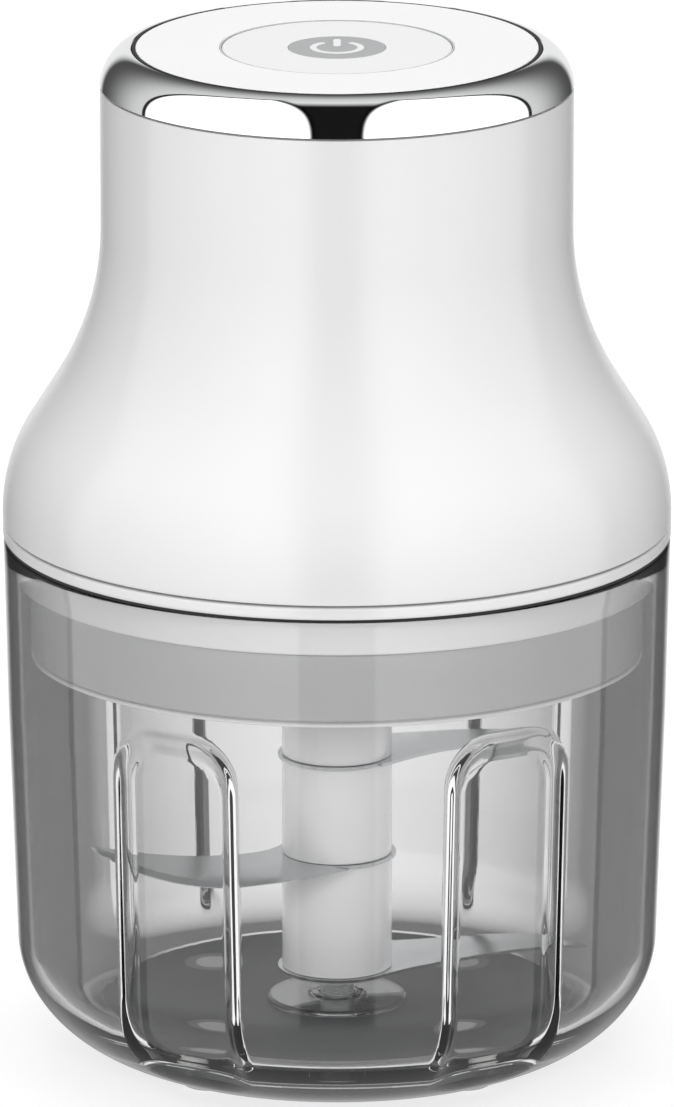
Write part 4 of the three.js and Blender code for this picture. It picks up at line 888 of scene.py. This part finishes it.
plunger_line = [(0, 56), (1.6, 56), (1.6, 59.4), (2.6, 59.4), (2.6, 60), (1.6, 60), (1.6, 60.4), (0, 60.4)]
plunger_corners = (0, 0.4, 0.1, 0.1, 0.1, 0.05, 0.05, 0)
plunger = turned("safety_plunger", rounded(plunger_line, plunger_corners), hub_white, 32, POST)
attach(plunger, "interlock")
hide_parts("interlock_plunger")


# ---- Motor head: motor, cells and electronics ----
# Everything inside the case keeps its CAD shape and gets its finish here: a can motor with
# copper windings, two wrapped cells, and circuit boards on a black frame.

brass = metal("turned_brass", (0.55, 0.36, 0.14), 0.3, depth=0.002)
copper = metal("copper_wire", (0.55, 0.22, 0.1), 0.35, brush=(1, 1, 3), depth=0.03, size=0.35)
magnet = metal("ferrite", (0.05, 0.05, 0.052), 0.6, depth=0.004)
drawn_steel = metal("drawn_steel", (0.55, 0.56, 0.57), 0.3, brush=(4, 4, 1))
cell_wrap = soft_plastic("cell_wrap", (0.03, 0.1, 0.32), 0.35)
board_green = soft_plastic("board_green", (0.012, 0.09, 0.04), 0.4)
black_moulding = soft_plastic("black_moulding", (0.015, 0.015, 0.016), 0.45)
white_moulding = soft_plastic("white_moulding", (0.75, 0.75, 0.75), 0.45)

INNER_FINISHES = (
    (brass, ("pivot_bush",)),
    (white_moulding, ("hub_core", "motor_end_cap", "status_led")),
    (drawn_steel, ("motor_can", "motor_shaft", "motor_mount", "mount_screw_1", "mount_screw_2", "mount_screw_3",
                   "motor_screw_1", "motor_screw_2", "charge_socket")),
    (copper, ("armature", "commutator")),
    (magnet, ("magnet_left", "magnet_right")),
    (cell_wrap, ("cell_left", "cell_right")),
    (board_green, ("control_board", "charge_board")),
    (black_moulding, ("inner_frame", "tact_switch", "microswitch")),
)
for finish, names in INNER_FINISHES:
    for name in names:
        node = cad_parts[name]
        node.data.materials.clear()
        node.data.materials.append(finish)


# ---- Studio ----
# A plain white floor that runs into a white backdrop, soft lamps for the plain light, and large
# white panels at both sides with a dark gap in front. The room beside the backdrop is unlit.

FLOOR_REACH = 6
PANEL_LIGHT = 1.5
FRONT_LAMP = 4.4
TOP_LAMP = 7.8
BACK_LAMP = 2.5
FILL = 0.2  # light that the room gives to matt surfaces
BACKDROP = 0.8  # brightness in reflections of the backdrop, the room at its sides, and the ground
ROOM_BACK, ROOM_FRONT = 0.08, 0.7
GROUND = 0.75
DARK_GAP = 0.012  # between the panels, and how dark their frames are
FRAME_SHADE = 0.97

floor_material, tree, shader, node = nodes_of("floor_white")
shader.inputs["Base Color"].default_value = (0.8, 0.8, 0.8, 1)
shader.inputs["Roughness"].default_value = 0.9
path = node("ShaderNodeLightPath")
seen = node("ShaderNodeMath", {0: path.outputs["Is Camera Ray"], 1: path.outputs["Is Transmission Ray"]},
            operation="MAXIMUM")
seen = node("ShaderNodeMath", {0: seen.outputs[0], 1: path.outputs["Is Glossy Ray"]}, operation="MAXIMUM")
glow = node("ShaderNodeEmission", {"Color": (1, 1, 1, 1), "Strength": 0.72})
soft = node("ShaderNodeBsdfDiffuse", {"Color": (0.33, 0.33, 0.33, 1)})
shown = node("ShaderNodeAddShader", {0: glow.outputs[0], 1: soft.outputs[0]})
mix = node("ShaderNodeMixShader", {0: seen.outputs[0], 1: shader.outputs["BSDF"], 2: shown.outputs[0]})
output = next(n for n in tree.nodes if n.type == "OUTPUT_MATERIAL")
tree.links.new(mix.outputs[0], output.inputs["Surface"])
floor_mesh = bpy.data.meshes.new("floor")
floor_edge = [(FLOOR_REACH * math.cos(a), FLOOR_REACH * math.sin(a), 0)
              for a in np.linspace(0, 2 * math.pi, 64, endpoint=False)]
floor_mesh.from_pydata(floor_edge, [], [tuple(range(64))])
floor_mesh.materials.append(floor_material)
floor = bpy.data.objects.new("floor", floor_mesh)
floor.visible_glossy = False
bpy.context.scene.collection.objects.link(floor)

world = bpy.data.worlds.new("studio")
world.use_nodes = True
world.cycles.sampling_method = "NONE"
bpy.context.scene.world = world
tree = world.node_tree
tree.nodes.clear()


def reading(kind, links=(), **values):
    """A node of the world's tree, with its sockets linked or set."""
    made = tree.nodes.new(kind)
    for key, value in values.items():
        setattr(made, key, value)
    for socket, source in dict(links).items():
        if isinstance(source, bpy.types.NodeSocket):
            tree.links.new(source, made.inputs[socket])
        else:
            made.inputs[socket].default_value = source
    return made.outputs[0]


def math_of(operation, a, b=0.0):
    return reading("ShaderNodeMath", {0: a, 1: b}, operation=operation)


def slope(value, low, high, start=0.0, stop=1.0):
    """Runs smoothly from one level to another as the value goes from low to high."""
    return reading("ShaderNodeMapRange", {"Value": value, "From Min": low, "From Max": high, "To Min": start,
                                          "To Max": stop}, interpolation_type="SMOOTHSTEP")


direction = tree.nodes.new("ShaderNodeTexCoord").outputs["Generated"]
parts = tree.nodes.new("ShaderNodeSeparateXYZ")
tree.links.new(direction, parts.inputs[0])
aside = math_of("ABSOLUTE", parts.outputs["X"])
front = math_of("MULTIPLY", parts.outputs["Y"], -1.0)
up = parts.outputs["Z"]

panel = math_of("MULTIPLY", slope(aside, 0.2, 0.235), slope(front, -0.27, -0.245))
outlined = math_of("MULTIPLY", slope(aside, 0.16, 0.2), slope(front, -0.312, -0.298))
behind = math_of("ADD", slope(front, -0.96, -0.9, BACKDROP, 0.0),
                 slope(front, -0.9, -0.3, ROOM_BACK, ROOM_FRONT))
middle = math_of("MULTIPLY", slope(front, -0.2, 0.14, 1.0, DARK_GAP), BACKDROP)
in_middle = math_of("MULTIPLY", slope(aside, 0.2, 0.24, 1.0, 0.0), slope(front, -0.3, -0.2))
room = math_of("ADD", math_of("MULTIPLY", behind, math_of("SUBTRACT", 1.0, in_middle)),
               math_of("MULTIPLY", middle, in_middle))
room = math_of("MULTIPLY", room, math_of("SUBTRACT", 1.0, math_of("MULTIPLY", outlined, FRAME_SHADE)))
studio = math_of("ADD", room, math_of("MULTIPLY", panel, PANEL_LIGHT))
ground = slope(up, -0.55, -0.25, 1.0, 0.0)
studio = math_of("ADD", math_of("MULTIPLY", studio, math_of("SUBTRACT", 1.0, ground)),
                 math_of("MULTIPLY", ground, GROUND))

path = tree.nodes.new("ShaderNodeLightPath")
white = math_of("MAXIMUM", path.outputs["Is Camera Ray"], path.outputs["Is Transmission Ray"])
diffuse = path.outputs["Is Diffuse Ray"]
level = math_of("ADD", math_of("MULTIPLY", diffuse, FILL),
                math_of("MULTIPLY", studio, math_of("SUBTRACT", 1.0, diffuse)))
level = math_of("ADD", white, math_of("MULTIPLY", level, math_of("SUBTRACT", 1.0, white)))
background = tree.nodes.new("ShaderNodeBackground")
background.inputs["Color"].default_value = (1, 1, 1, 1)
tree.links.new(level, background.inputs["Strength"])
world_output = tree.nodes.new("ShaderNodeOutputWorld")
tree.links.new(background.outputs[0], world_output.inputs["Surface"])


def lamp(name, azimuth, elevation, distance, size, power):
    """A soft round lamp that faces the chopper. Azimuth 0 is in front."""
    light = bpy.data.lights.new(name, "AREA")
    light.shape = "DISK"
    light.size = size
    light.energy = power
    made = bpy.data.objects.new(name, light)
    a, e = math.radians(azimuth), math.radians(elevation)
    made.location = (distance * math.sin(a) * math.cos(e), -distance * math.cos(a) * math.cos(e),
                     distance * math.sin(e) + 0.06)
    made.rotation_euler = (math.radians(90 - elevation), 0, a)
    made.visible_camera = False
    made.visible_glossy = False
    made.visible_transmission = False
    bpy.context.scene.collection.objects.link(made)


for side in (-1, 1):
    lamp(f"front_lamp_{side}", side * 32, 20, 1.2, 0.35, FRONT_LAMP)
    lamp(f"back_lamp_{side}", side * 140, 25, 1.2, 0.5, BACK_LAMP)
lamp("top_lamp", 0, 88, 1.2, 0.6, TOP_LAMP)
